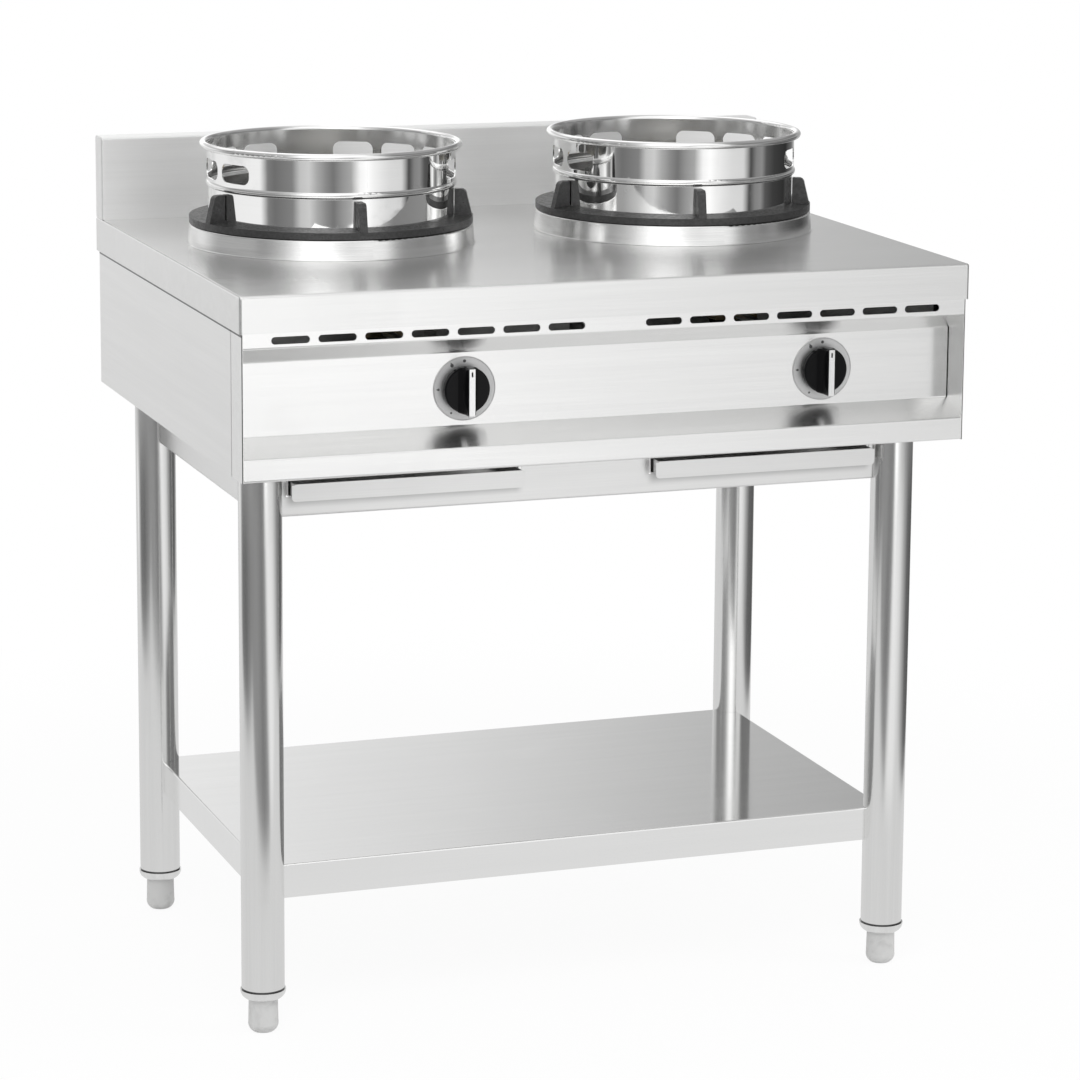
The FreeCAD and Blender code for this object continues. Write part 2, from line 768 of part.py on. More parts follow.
def apron(name):
    """Folded channel between two legs, with a ledge that carries the body floor and a lower return. Its
    ends are coped to the round legs, and the front one has a cut-out for each drip tray."""
    lengthwise = name in ("front", "rear")
    sign = -1 if name in ("front", "left") else 1
    plane = sign * (LEG_Y if lengthwise else LEG_X)
    inward = -sign
    t = APRON_SHEET
    face = folded(
        side_view if lengthwise else front_view, inward * t, BEND_RADIUS,
        (plane + inward * APRON_LEDGE, FLOOR_LOW),
        (plane, FLOOR_LOW),
        (plane, APRON_BOTTOM),
        (plane + inward * APRON_RETURN, APRON_BOTTOM),
    )
    if lengthwise:
        solid = along_x(face, -LEG_X, LEG_X)
    else:
        end = LEG_Y - LEG_RADIUS * 0.8
        solid = along_y(face, -end, end)
    cuts = leg_clearances(COPE_GAP)
    if name == "front":
        half = TRAY_HALF + TRAY_SLOT_SIDE_GAP
        low = RUNNER_TOP - RUNNER_SHEET
        high = TRAY_TOP + TRAY_SLOT_TOP_GAP
        for side in SIDES:
            x = burner_x(side)
            cuts.append(block(x - half, x + half, plane - t, plane + 2 * t, low, high))
    if not lengthwise:
        reach = APRON_LEDGE + 2 * t
        cuts += [
            block(-LEG_X, LEG_X, LEG_Y - 2 * t, LEG_Y + reach, APRON_BOTTOM - PAST, FLOOR_LOW + PAST),
            block(-LEG_X, LEG_X, -LEG_Y - reach, -LEG_Y + reach, FLOOR_LOW - 2 * t, FLOOR_LOW + PAST),
            block(-LEG_X, LEG_X, LEG_Y - reach, LEG_Y + reach, FLOOR_LOW - 2 * t, FLOOR_LOW + PAST),
        ]
    return one_piece(solid.cut(cuts))


def undershelf():
    """Pressed tray upside down between the legs, with its corners notched round the tubes."""
    t = SHELF_SHEET
    low = SHELF_HEIGHT - SHELF_LIP

    def shell(inset, bottom, radius):
        x, y, top = LEG_X - inset, LEG_Y - inset, SHELF_HEIGHT - inset
        solid = block(-x, x, -y, y, bottom, top)
        return rounded(solid, radius, lambda c: near(c.z, top))

    inner_radius = max(SHELF_EDGE_RADIUS - t, 0.3)
    solid = shell(0, low, SHELF_EDGE_RADIUS).cut(shell(t, low - t, inner_radius))
    return one_piece(solid.cut(leg_clearances(COPE_GAP)))


def shelf_stiffener():
    """Hat section fixed under the middle of the shelf."""
    t = SHELF_SHEET
    top = SHELF_HEIGHT - SHELF_SHEET
    half, brim = STIFFENER_WIDTH / 2, STIFFENER_BRIM
    face = folded(
        side_view, -t, t,
        (-half - brim, top),
        (-half, top),
        (-half, top - STIFFENER_HEIGHT),
        (half, top - STIFFENER_HEIGHT),
        (half, top),
        (half + brim, top),
    )
    end = LEG_X - SHELF_EDGE_RADIUS - COPE_GAP
    return one_piece(along_x(face, -end, end))


def tray_runners():
    """Two angles under each drip tray, from the front apron to the rear one."""
    t = RUNNER_SHEET
    end = LEG_Y - APRON_SHEET
    outer = TRAY_HALF + RUNNER_SIDE_GAP + t
    solids = []
    for side in SIDES:
        for sign in SIDES.values():
            x = burner_x(side)
            face = folded(
                front_view, sign * t, BEND_RADIUS,
                (x + sign * (outer - RUNNER_LEDGE), RUNNER_TOP - t),
                (x + sign * outer, RUNNER_TOP - t),
                (x + sign * outer, RUNNER_TOP - t + RUNNER_HEIGHT),
            )
            solids.append(along_y(face, -end, end))
    return Part.makeCompound(solids)


# ---- Collars, bowls, trivets and wok rings ----

def burner_collar(side):
    """Raised ring: a slightly conical outer wall, a flat top and a skirt down through the worktop."""
    t = COLLAR_SHEET
    face = folded(
        radius_view, t, BEND_RADIUS,
        (COLLAR_BASE_RADIUS, WORKTOP_HEIGHT + COLLAR_SEAT_GAP),
        (COLLAR_TOP_RADIUS, COLLAR_TOP),
        (COLLAR_BORE_RADIUS - t, COLLAR_TOP),
        (COLLAR_BORE_RADIUS - t, COLLAR_TOP - COLLAR_SKIRT),
    )
    return turned(face, burner_x(side), BURNER_Y)


def spill_bowl(side):
    """Spun bowl inside the collar's skirt, open in the middle round the burner."""
    t = BOWL_SHEET
    rim = COLLAR_BORE_RADIUS - COLLAR_SHEET - COPE_GAP
    top = COLLAR_TOP - TRIVET_SPIGOT - 2 * TRIVET_CLEARANCE
    low = COLLAR_TOP - BOWL_DEPTH
    face = folded(
        radius_view, -t, 2 * t,
        (rim, top),
        (rim, top - BOWL_WALL),
        (BOWL_THROAT_RADIUS, low),
        (BOWL_THROAT_RADIUS, low - BOWL_THROAT_LIP),
    )
    return turned(face, burner_x(side), BURNER_Y)


def trivet(side):
    """Cast ring with a crowned top and a spigot in the collar, and upright lugs that centre the wok ring."""
    bottom, crown = TRIVET_BOTTOM, TRIVET_SEAT
    shoulder = crown - TRIVET_CROWN
    spigot = COLLAR_BORE_RADIUS - COLLAR_SHEET - TRIVET_SPIGOT_CLEARANCE
    bore, outer, seat = TRIVET_BORE_RADIUS, COLLAR_TOP_RADIUS, TRIVET_SEAT_RADIUS
    ring = turned(outline(
        radius_view,
        (bore, bottom - TRIVET_SPIGOT),
        (spigot, bottom - TRIVET_SPIGOT),
        (spigot, bottom),
        (outer, bottom),
        (outer, shoulder),
        (seat, crown),
        (bore, crown),
    ), 0, 0)
    inner = RING_RADIUS + LUG_CLEARANCE
    top = crown + LUG_HEIGHT
    tip = inner + LUG_TOP_LENGTH
    k = LUG_ROUND * (1 - math.sqrt(0.5))
    profile = outline(
        side_view,
        (-inner, crown - TRIVET_THICKNESS / 2),
        (-inner, top),
        (-tip + LUG_ROUND, top),
        ((-tip + k, top - k), (-tip, top - LUG_ROUND)),
        (-outer + LUG_TOE_INSET, shoulder),
        (-outer + LUG_TOE_INSET, shoulder - TRIVET_THICKNESS / 2),
    )
    lug = along_x(profile, -LUG_WIDTH / 2, LUG_WIDTH / 2)
    lugs = []
    for i in range(LUG_COUNT):
        copy = lug.copy()
        copy.rotate(V(0, 0, 0), UP, i * 360.0 / LUG_COUNT)
        lugs.append(copy)
    solid = one_piece(ring.fuse(lugs))
    solid.rotate(V(0, 0, 0), UP, -RING_TURNS[side])
    solid.translate(V(burner_x(side), BURNER_Y, 0))
    return solid


def wok_ring(side):
    """Band with a swaged bead and a rolled lip, and oblong holes round its rear and sides."""
    t = RING_SHEET
    low, upper = RING_RADIUS, RING_UPPER_RADIUS
    middle = (RING_BEAD_BOTTOM + RING_BEAD_TOP) / 2
    roll_r = upper - t / 2 + RING_ROLL_RADIUS
    roll_z = RING_BAND_TOP + RING_ROLL_RADIUS
    crest = upper + RING_BEAD_BULGE - RING_STEP / 2
    band = outline(
        radius_view,
        (low, RING_BOTTOM),
        (low, RING_BEAD_BOTTOM),
        ((crest, middle), (upper, RING_BEAD_TOP)),
        (upper, roll_z),
        (upper - t, roll_z),
        (upper - t, RING_BEAD_TOP - t / 4),
        ((crest - t, middle), (low - t, RING_BEAD_BOTTOM + t / 4)),
        (low - t, RING_BOTTOM),
    )
    roll = Part.makeTorus(roll_r, RING_ROLL_RADIUS, V(0, 0, roll_z), UP)
    holes = []
    face = slot_face(
        front_view, 0, RING_BEAD_TOP + HOLE_RISE, HOLE_LENGTH, HOLE_HEIGHT, HOLE_ROUND
    )
    hole = along_y(face, upper * 0.85, upper + 2 * t)
    for i in range(1, HOLES_EACH_SIDE + 1):
        for sign in SIDES.values():
            copy = hole.copy()
            copy.rotate(V(0, 0, 0), UP, sign * i * HOLE_PITCH_ANGLE)
            holes.append(copy)
    solid = one_piece(turned(band, 0, 0).fuse(roll).cut(holes))
    solid.rotate(V(0, 0, 0), UP, -RING_TURNS[side])
    solid.translate(V(burner_x(side), BURNER_Y, 0))
    return solid


# ---- Burners ----

def burner_body(side):
    """Iron casting: a base pad, a dished chamber, and a mixing tube that runs forward to a bell mouth."""
    x = burner_x(side)
    wall, neck, rim = BURNER_WALL, NECK_RADIUS, CHAMBER_RADIUS
    bell = turned(outline(
        radius_view,
        (0, BURNER_BASE),
        (neck, BURNER_BASE),
        (neck, MIXER_HEIGHT + MIXER_RADIUS),
        ((rim * 0.62, CHAMBER_BOTTOM - wall), (rim, CHAMBER_BOTTOM + wall)),
        (rim, CHAMBER_TOP),
        (rim - wall, CHAMBER_TOP),
        (rim - wall, CHAMBER_BOTTOM + 2 * wall),
        ((rim * 0.55, CHAMBER_BOTTOM + wall * 0.4), (neck - wall, MIXER_HEIGHT + MIXER_RADIUS)),
        (neck - wall, BURNER_BASE + wall),
        (0, BURNER_BASE + wall),
    ), x, BURNER_Y)
    tube = rod(MIXER_RADIUS, x, MIXER_HEIGHT, MIXER_END, BURNER_Y)
    mouth = turned_nose(outline(
        nose_view,
        (0, MIXER_END),
        (MIXER_MOUTH_RADIUS, MIXER_END),
        (
            (MIXER_RADIUS + MIXER_MOUTH_LIP, MIXER_END + MIXER_MOUTH * 0.45),
            (MIXER_RADIUS, MIXER_END + MIXER_MOUTH),
        ),
        (0, MIXER_END + MIXER_MOUTH),
    ), x, MIXER_HEIGHT)
    bore = rod(MIXER_BORE, x, MIXER_HEIGHT, MIXER_END - PAST, BURNER_Y)
    well = post(neck - wall, x, BURNER_Y, BURNER_BASE + wall, MIXER_HEIGHT + MIXER_RADIUS)
    flare = Part.makeCone(
        MIXER_MOUTH_RADIUS - MIXER_MOUTH_LIP, MIXER_BORE, MIXER_MOUTH, V(x, MIXER_END, MIXER_HEIGHT), BACK
    )
    return one_piece(bell.fuse([tube, mouth]).cut([bore, well, flare]))


def burner_cap(side):
    """Lift-off cap: a crowned ring whose skirt is cut with flame ports and drops inside the chamber."""
    x = burner_x(side)
    r, hole, wall = CAP_RADIUS, CAP_HOLE_RADIUS, CAP_WALL
    spigot = CHAMBER_RADIUS - BURNER_WALL - CAP_CLEARANCE
    solid = turned(outline(
        radius_view,
        (hole, CAP_TOP - wall),
        (spigot - wall, CAP_TOP - wall),
        (spigot - wall, CAP_BOTTOM - wall),
        (spigot, CAP_BOTTOM - wall),
        (spigot, CAP_BOTTOM),
        (r, CAP_BOTTOM),
        (r, CAP_TOP - wall),
        ((r - CAP_ROUND, CAP_TOP - CAP_ROUND), (r - 2 * wall, CAP_TOP)),
        (hole + wall, CAP_TOP),
        ((hole + CAP_ROUND / 2, CAP_TOP - CAP_ROUND / 2), (hole, CAP_TOP - CAP_ROUND * 2)),
    ), 0, 0)
    ports = []
    for i in range(CAP_PORTS):
        port = block(
            spigot - 2 * wall, r + PAST, -PORT_WIDTH / 2, PORT_WIDTH / 2, CAP_BOTTOM - PAST,
            CAP_BOTTOM + PORT_HEIGHT
        )
        port.rotate(V(0, 0, 0), UP, (i + 0.5) * 360.0 / CAP_PORTS)
        ports.append(port)
    solid = one_piece(solid.cut(ports))
    solid.translate(V(x, BURNER_Y, 0))
    return solid


def burner_bridge(side):
    """Strap that carries the burner over the drip opening and stands on the body floor at both ends."""
    x = burner_x(side)
    t = BRIDGE_SHEET
    inner = DRIP_OPENING_WIDTH / 2 + t + BODY_SHEET
    face = folded(
        front_view, -t, t,
        (x - inner - BRIDGE_FOOT, FLOOR_TOP + t),
        (x - inner, FLOOR_TOP + t),
        (x - inner, BURNER_BASE),
        (x + inner, BURNER_BASE),
        (x + inner, FLOOR_TOP + t),
        (x + inner + BRIDGE_FOOT, FLOOR_TOP + t),
    )
    return one_piece(along_y(face, BURNER_Y - BRIDGE_WIDTH / 2, BURNER_Y + BRIDGE_WIDTH / 2))


def jet_holder(side):
    """Brass jet on a plate that two arms hold in front of the mixing tube's mouth."""
    x, z = burner_x(side), MIXER_HEIGHT
    r, mouth = JET_RADIUS, MIXER_MOUTH_RADIUS
    jet = turned_nose(outline(
        nose_view,
        (0, JET_BACK),
        (r, JET_BACK),
        (r, JET_FRONT - r),
        (r * 0.4, JET_FRONT),
        (0, JET_FRONT),
    ), x, z)
    plate_y = JET_BACK + JET_PLATE
    plate = block(x - mouth, x + mouth, plate_y, plate_y + JET_PLATE, z - r, z + r)
    arms = [
        block(a, a + JET_PLATE, plate_y, MIXER_END, z - r, z + r)
        for a in (x - mouth, x + mouth - JET_PLATE)
    ]
    return one_piece(plate.fuse(arms + [jet]))


def burner_pipe(side):
    """Bent pipe from the valve's outlet to the jet."""
    x0, x1 = knob_x(side), burner_x(side)
    points = [
        V(x0, OUTLET_Y, OUTLET_TOP),
        V(x0, OUTLET_Y, MIXER_HEIGHT),
        V(x1, OUTLET_Y, MIXER_HEIGHT),
        V(x1, JET_BACK, MIXER_HEIGHT),
    ]
    return bent_tube(points, PIPE_BEND, PIPE_RADIUS, PIPE_BORE)


def pilot_burner(side):
    """Pilot jet and flame sensor side by side on a small angle, held against the chamber's wall."""
    t = BURNER_WALL / 2
    arm = block(
        CHAMBER_RADIUS + COPE_GAP, CHAMBER_RADIUS + PILOT_ARM, -PILOT_ARM, PILOT_ARM,
        CHAMBER_BOTTOM + BURNER_WALL, CHAMBER_BOTTOM + BURNER_WALL + t
    )
    low = CHAMBER_TOP - PILOT_HEIGHT
    r = PILOT_RADIUS
    centre = CAP_RADIUS + r + PILOT_CAP_GAP
    jet = post(r, centre, PILOT_ARM / 2, low, CHAMBER_TOP)
    sensor = post(r * 0.7, centre, -PILOT_ARM / 2, low, CHAMBER_TOP + r)
    reach = block(
        CHAMBER_RADIUS + COPE_GAP, centre + r, -PILOT_ARM, PILOT_ARM,
        CHAMBER_BOTTOM + BURNER_WALL, CHAMBER_BOTTOM + BURNER_WALL + t
    )
    solid = one_piece(arm.fuse([jet, sensor, reach]))
    solid.rotate(V(0, 0, 0), UP, PILOT_ANGLE)
    solid.translate(V(burner_x(side), BURNER_Y, 0))
    return solid


# ---- Valves, spindles, knobs and gas supply ----

def flat_shaft(radius, flat, x, y0, y1):
    """Front-to-back shaft with a flat on its top side."""
    shaft = rod(radius, x, KNOB_HEIGHT, y0, y1)
    return shaft.cut(block(
        x - 2 * radius, x + 2 * radius, y0 - PAST, y1 + PAST, KNOB_HEIGHT + flat, KNOB_HEIGHT + 2 * radius
    ))


def gas_valve(side):
    """Brass tap behind the panel: flange, barrel with a tapered chamber, saddle on the manifold, outlet."""
    x, z = knob_x(side), KNOB_HEIGHT
    half = VALVE_FLANGE / 2
    flange = block(
        x - half, x + half, VALVE_FRONT, VALVE_FRONT + VALVE_FLANGE_SHEET, z - half, z + half
    )
    barrel = rod(VALVE_RADIUS, x, z, VALVE_FRONT, VALVE_BACK)
    saddle = block(
        x - SADDLE_WIDTH / 2, x + SADDLE_WIDTH / 2, MANIFOLD_Y - MANIFOLD_RADIUS,
        MANIFOLD_Y + MANIFOLD_RADIUS, MANIFOLD_HEIGHT, z
    )
    pipe = Part.makeCylinder(
        MANIFOLD_RADIUS, 2 * SADDLE_WIDTH, V(x - SADDLE_WIDTH, MANIFOLD_Y, MANIFOLD_HEIGHT), RIGHT
    )
    outlet = post(OUTLET_RADIUS, x, OUTLET_Y, z, OUTLET_TOP)
    chamber = Part.makeCone(
        PLUG_RADIUS + PLUG_CLEARANCE, PLUG_RADIUS - PLUG_TAPER + PLUG_CLEARANCE,
        PLUG_CHAMBER_BACK - PLUG_CHAMBER_FRONT, V(x, PLUG_CHAMBER_FRONT, z), BACK
    )
    nose = rod(SPINDLE_RADIUS + COPE_GAP, x, z, VALVE_FRONT - PAST, PLUG_CHAMBER_FRONT + PAST)
    return one_piece(flange.fuse([barrel, saddle, outlet]).cut([pipe, chamber, nose]))


def valve_plug(side):
    """Tapered plug that the spindle turns, with a flatted bore that lets the spindle slide."""
    x, z = knob_x(side), KNOB_HEIGHT
    length = PLUG_CHAMBER_BACK - PLUG_CHAMBER_FRONT
    slope = PLUG_TAPER / length
    front, back = PLUG_CHAMBER_FRONT + PLUG_END_GAP, PLUG_CHAMBER_BACK - PLUG_END_GAP
    plug = Part.makeCone(
        PLUG_RADIUS - slope * PLUG_END_GAP, PLUG_RADIUS - slope * (length - PLUG_END_GAP),
        back - front, V(x, front, z), BACK
    )
    gas_way = post(SPINDLE_RADIUS, x, back - 2 * SPINDLE_RADIUS, z - PLUG_RADIUS, z + PLUG_RADIUS)
    bore = flat_shaft(
        SPINDLE_RADIUS + SPINDLE_CLEARANCE, SPINDLE_FLAT + SPINDLE_CLEARANCE, x, front - PAST,
        SPINDLE_BACK + KNOB_TRAVEL + PAST
    )
    return one_piece(plug.cut([bore, gas_way]))


def spindle(side):
    """Steel spindle from inside the plug to inside the knob."""
    return flat_shaft(
        SPINDLE_RADIUS, SPINDLE_FLAT, knob_x(side), KNOB_BACK - SPINDLE_GRIP, SPINDLE_BACK
    )


def grip_section(x, y, width, reach):
    """Rounded bar outline of the grip at one depth."""
    face = slot_face(lambda u, v: V(u, y, v), x, KNOB_HEIGHT, width, 2 * reach, width * 0.3)
    return face.OuterWire


def insert_strip(side):
    """Strip along the grip's face that folds down over its lower end, before its slot is cut."""
    x, z, t = knob_x(side), KNOB_HEIGHT, INSERT_THICKNESS
    reach = KNOB_RADIUS + GRIP_OVERHANG
    face = folded(
        side_view, t, t,
        (KNOB_FACE - KNOB_FOLD_DEPTH, z - reach),
        (GRIP_FACE, z - reach),
        (GRIP_FACE, z + reach - t),
    )
    return along_x(face, x - INSERT_WIDTH / 2, x + INSERT_WIDTH / 2)


def knob(side):
    """Black knob: a round skirt hollow behind, and a grip that flares down to it."""
    x, z = knob_x(side), KNOB_HEIGHT
    r = KNOB_RADIUS
    reach = r + GRIP_OVERHANG
    skirt = turned_nose(outline(
        nose_view,
        (0, KNOB_FACE),
        (r - KNOB_BEVEL, KNOB_FACE),
        (r, KNOB_FACE + KNOB_BEVEL),
        (r, KNOB_BACK),
        (r - KNOB_WALL, KNOB_BACK),
        (r - KNOB_WALL, KNOB_FACE + KNOB_WALL),
        (KNOB_HUB_RADIUS, KNOB_FACE + KNOB_WALL),
        (KNOB_HUB_RADIUS, KNOB_BACK),
        (0, KNOB_BACK),
    ), x, z)
    sections = [
        grip_section(x, KNOB_FACE + KNOB_WALL / 2, GRIP_BASE_WIDTH, reach),
        grip_section(x, KNOB_FACE - GRIP_HEIGHT * 0.35, GRIP_WAIST_WIDTH, reach),
        grip_section(x, GRIP_FACE, GRIP_TOP_WIDTH, reach),
    ]
    grip = Part.makeLoft(sections, True, False)
    grip = grip.common(rod(reach, x, z, GRIP_FACE - PAST, KNOB_BACK))
    bore = flat_shaft(
        SPINDLE_RADIUS + SPINDLE_CLEARANCE, SPINDLE_FLAT + SPINDLE_CLEARANCE, x,
        KNOB_BACK - SPINDLE_GRIP - SPINDLE_CLEARANCE, KNOB_BACK + PAST
    )
    return one_piece(skirt.fuse(grip).cut([bore, insert_strip(side)]))


def knob_insert(side):
    """Silver strip set in the grip, with a slot near its top that shows where the knob points."""
    x = knob_x(side)
    slot_z = KNOB_HEIGHT + KNOB_RADIUS - POINTER_LENGTH * 1.1
    slot = slot_face(front_view, x, slot_z, POINTER_WIDTH, POINTER_LENGTH, POINTER_WIDTH / 2)
    slot = along_y(slot, GRIP_FACE - PAST, GRIP_FACE + 2 * INSERT_THICKNESS)
    return one_piece(insert_strip(side).cut(slot))


def dial_plate(side):
    """Round plate between the knob and the panel, with a fine raised rim."""
    r, rim = DIAL_RADIUS, DIAL_RIM
    hole = SPINDLE_RADIUS + SPINDLE_HOLE_GAP
    face = outline(
        nose_view,
        (hole, PANEL_FRONT),
        (hole, DIAL_FRONT),
        (r - rim, DIAL_FRONT),
        ((r - rim / 2, DIAL_FRONT - DIAL_RIM_RISE), (r, DIAL_FRONT)),
        (r, PANEL_FRONT),
    )
    return turned_nose(face, knob_x(side), KNOB_HEIGHT)


def gas_manifold():
    """Supply pipe behind the panel: closed at the left, carried to the rear at the right, with the thread of
    the gas inlet at its end."""
    r, bore = MANIFOLD_RADIUS, MANIFOLD_RADIUS - MANIFOLD_WALL
    z = MANIFOLD_HEIGHT
    left = knob_x("left") - MANIFOLD_END
    thread = INLET_END - INLET_THREAD_LENGTH
    points = [V(left, MANIFOLD_Y, z), V(INLET_X, MANIFOLD_Y, z), V(INLET_X, thread, z)]
    pipe = bent_tube(points, MANIFOLD_BEND, r, bore)
    plug = Part.makeCylinder(bore, MANIFOLD_WALL, V(left, MANIFOLD_Y, z), RIGHT)
    stub = rod(INLET_THREAD_RADIUS, INLET_X, z, thread, INLET_END)
    stub = stub.cut(rod(bore, INLET_X, z, thread - PAST, INLET_END + PAST))
    return one_piece(pipe.fuse([plug, stub]))


# ---- Drip trays ----

def drip_tray(side):
    """Open pan with a wider front, whose lower corners are rounded, and a floor that runs out to it."""
    x, t = burner_x(side), TRAY_SHEET
    half = TRAY_HALF
    outer = block(x - half, x + half, TRAY_FRONT, TRAY_BACK, TRAY_BOTTOM, TRAY_TOP)
    inner = block(
        x - half + t, x + half - t, TRAY_FRONT + t, TRAY_BACK - t, TRAY_BOTTOM + t, TRAY_TOP + PAST
    )
    low, high = TRAY_BOTTOM - TRAY_FRONT_DROP, TRAY_BOTTOM - TRAY_FRONT_DROP + TRAY_FRONT_HEIGHT
    a, r = TRAY_HALF + TRAY_FRONT_OVERHANG, TRAY_CORNER
    k = r * (1 - math.sqrt(0.5))
    plate = along_y(outline(
        front_view,
        (x - a, high),
        (x - a, low + r),
        ((x - a + k, low + k), (x - a + r, low)),
        (x + a - r, low),
        ((x + a - k, low + k), (x + a, low + r)),
        (x + a, high),
    ), TRAY_FRONT, TRAY_FRONT + t)
    return one_piece(outer.cut(inner).fuse(plate))


def pieces():
    """Every piece by its name."""
    made = {
        "worktop": worktop(),
        "splashback": splashback(),
        "front_fascia": front_fascia(),
        "rear_panel": rear_panel(),
        "body_floor": body_floor(),
        "panel_screws": panel_screws(),
        "leg_inserts": leg_inserts(),
        "undershelf": undershelf(),
        "shelf_stiffener": shelf_stiffener(),
        "tray_runners": tray_runners(),
        "gas_manifold": gas_manifold(),
    }
    for name in ("front", "rear", "left", "right"):
        made["apron_" + name] = apron(name)
    for name, (x, y) in leg_places().items():
        made["leg_" + name] = leg(x, y)
        made["foot_" + name] = foot(x, y)
    for make in (
        side_panel, burner_collar, spill_bowl, trivet, wok_ring, burner_body, burner_cap, burner_bridge,
        jet_holder, burner_pipe, pilot_burner, gas_valve, valve_plug, spindle, knob, knob_insert,
        dial_plate, drip_tray,
    ):
        for side in SIDES:
            made[make.__name__ + "_" + side] = make(side)
    return made


os.makedirs("parts", exist_ok=True)
for name, shape in pieces().items():
    if not shape.isValid():
        print("not valid:", name)
    shape.exportStep(os.path.join("parts", name + ".step"))
    print(name, len(shape.Solids), round(shape.Volume / 1000.0, 2), "cm3")
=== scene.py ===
"""Gas wok range with two burners on an open tube stand: light, finishes, dial marks and collar beads for the
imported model, in metres. +X is to the cook's right, +Y to the back, +Z up."""

import math

import bpy
import numpy as np
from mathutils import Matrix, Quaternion, Vector


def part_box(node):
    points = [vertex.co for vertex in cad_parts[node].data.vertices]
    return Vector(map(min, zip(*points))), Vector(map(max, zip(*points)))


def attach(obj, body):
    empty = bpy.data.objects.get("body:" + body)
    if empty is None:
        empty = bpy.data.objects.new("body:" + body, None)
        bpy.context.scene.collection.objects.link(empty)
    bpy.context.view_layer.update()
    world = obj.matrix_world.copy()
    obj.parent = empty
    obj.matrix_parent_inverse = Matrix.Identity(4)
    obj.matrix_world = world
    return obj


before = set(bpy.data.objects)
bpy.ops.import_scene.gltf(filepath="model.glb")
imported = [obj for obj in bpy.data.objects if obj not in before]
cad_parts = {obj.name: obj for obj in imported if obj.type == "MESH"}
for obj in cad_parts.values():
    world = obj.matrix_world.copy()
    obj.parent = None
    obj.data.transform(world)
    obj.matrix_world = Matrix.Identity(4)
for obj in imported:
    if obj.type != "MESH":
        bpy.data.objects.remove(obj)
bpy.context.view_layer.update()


# ---- Camera, lamps and paper floor ----
# The range stands on a white paper floor in a studio. The camera is at standing height, to the left of the
# range's front. A large lamp over it, a second one at the right and the white room light the steel.

CAMERA_PLACE = Vector((-1.5685, -4.5055, 1.5656))
CAMERA_YAW = math.radians(20.354)
CAMERA_PITCH = math.radians(-10.513)
CAMERA_ROLL = math.radians(0.549)
CAMERA_LENS = 129.637
CAMERA_FILM = 36.0
CAMERA_SHIFT = (-0.05, -0.12)
CAMERA_REACH = (0.1, 200.0)


def scene_object(name, data):
    """New object in the scene for a mesh, a lamp or a camera."""
    thing = bpy.data.objects.new(name, data)
    bpy.context.scene.collection.objects.link(thing)
    return thing


def photographers_camera():
    """Camera that looks along yaw (from +Y to +X) and pitch, then rolls about its own axis."""
    data = bpy.data.cameras.new("studio_camera")
    data.lens = CAMERA_LENS
    data.sensor_width = CAMERA_FILM
    data.shift_x, data.shift_y = CAMERA_SHIFT
    data.clip_start, data.clip_end = CAMERA_REACH
    camera = scene_object("studio_camera", data)
    flat = math.cos(CAMERA_PITCH)
    heading = Vector((math.sin(CAMERA_YAW) * flat, math.cos(CAMERA_YAW) * flat, math.sin(CAMERA_PITCH)))
    camera.rotation_mode = "QUATERNION"
    camera.rotation_quaternion = heading.to_track_quat("-Z", "Y") @ Quaternion((0, 0, 1), CAMERA_ROLL)
    camera.location = CAMERA_PLACE
    bpy.context.scene.camera = camera
    bpy.context.scene.view_settings.view_transform = "Standard"


def soft_lamp(name, place, target, width, height, watts):
    """Rectangular lamp that faces a target. Polished metal shows the room and not the lamp."""
    data = bpy.data.lights.new(name, "AREA")
    data.shape = "RECTANGLE"
    data.size, data.size_y = width, height
    data.energy = watts
    lamp = scene_object(name, data)
    lamp.location = place
    lamp.rotation_mode = "QUATERNION"
    lamp.rotation_quaternion = (Vector(target) - Vector(place)).to_track_quat("-Z", "Y")
    lamp.visible_glossy = False


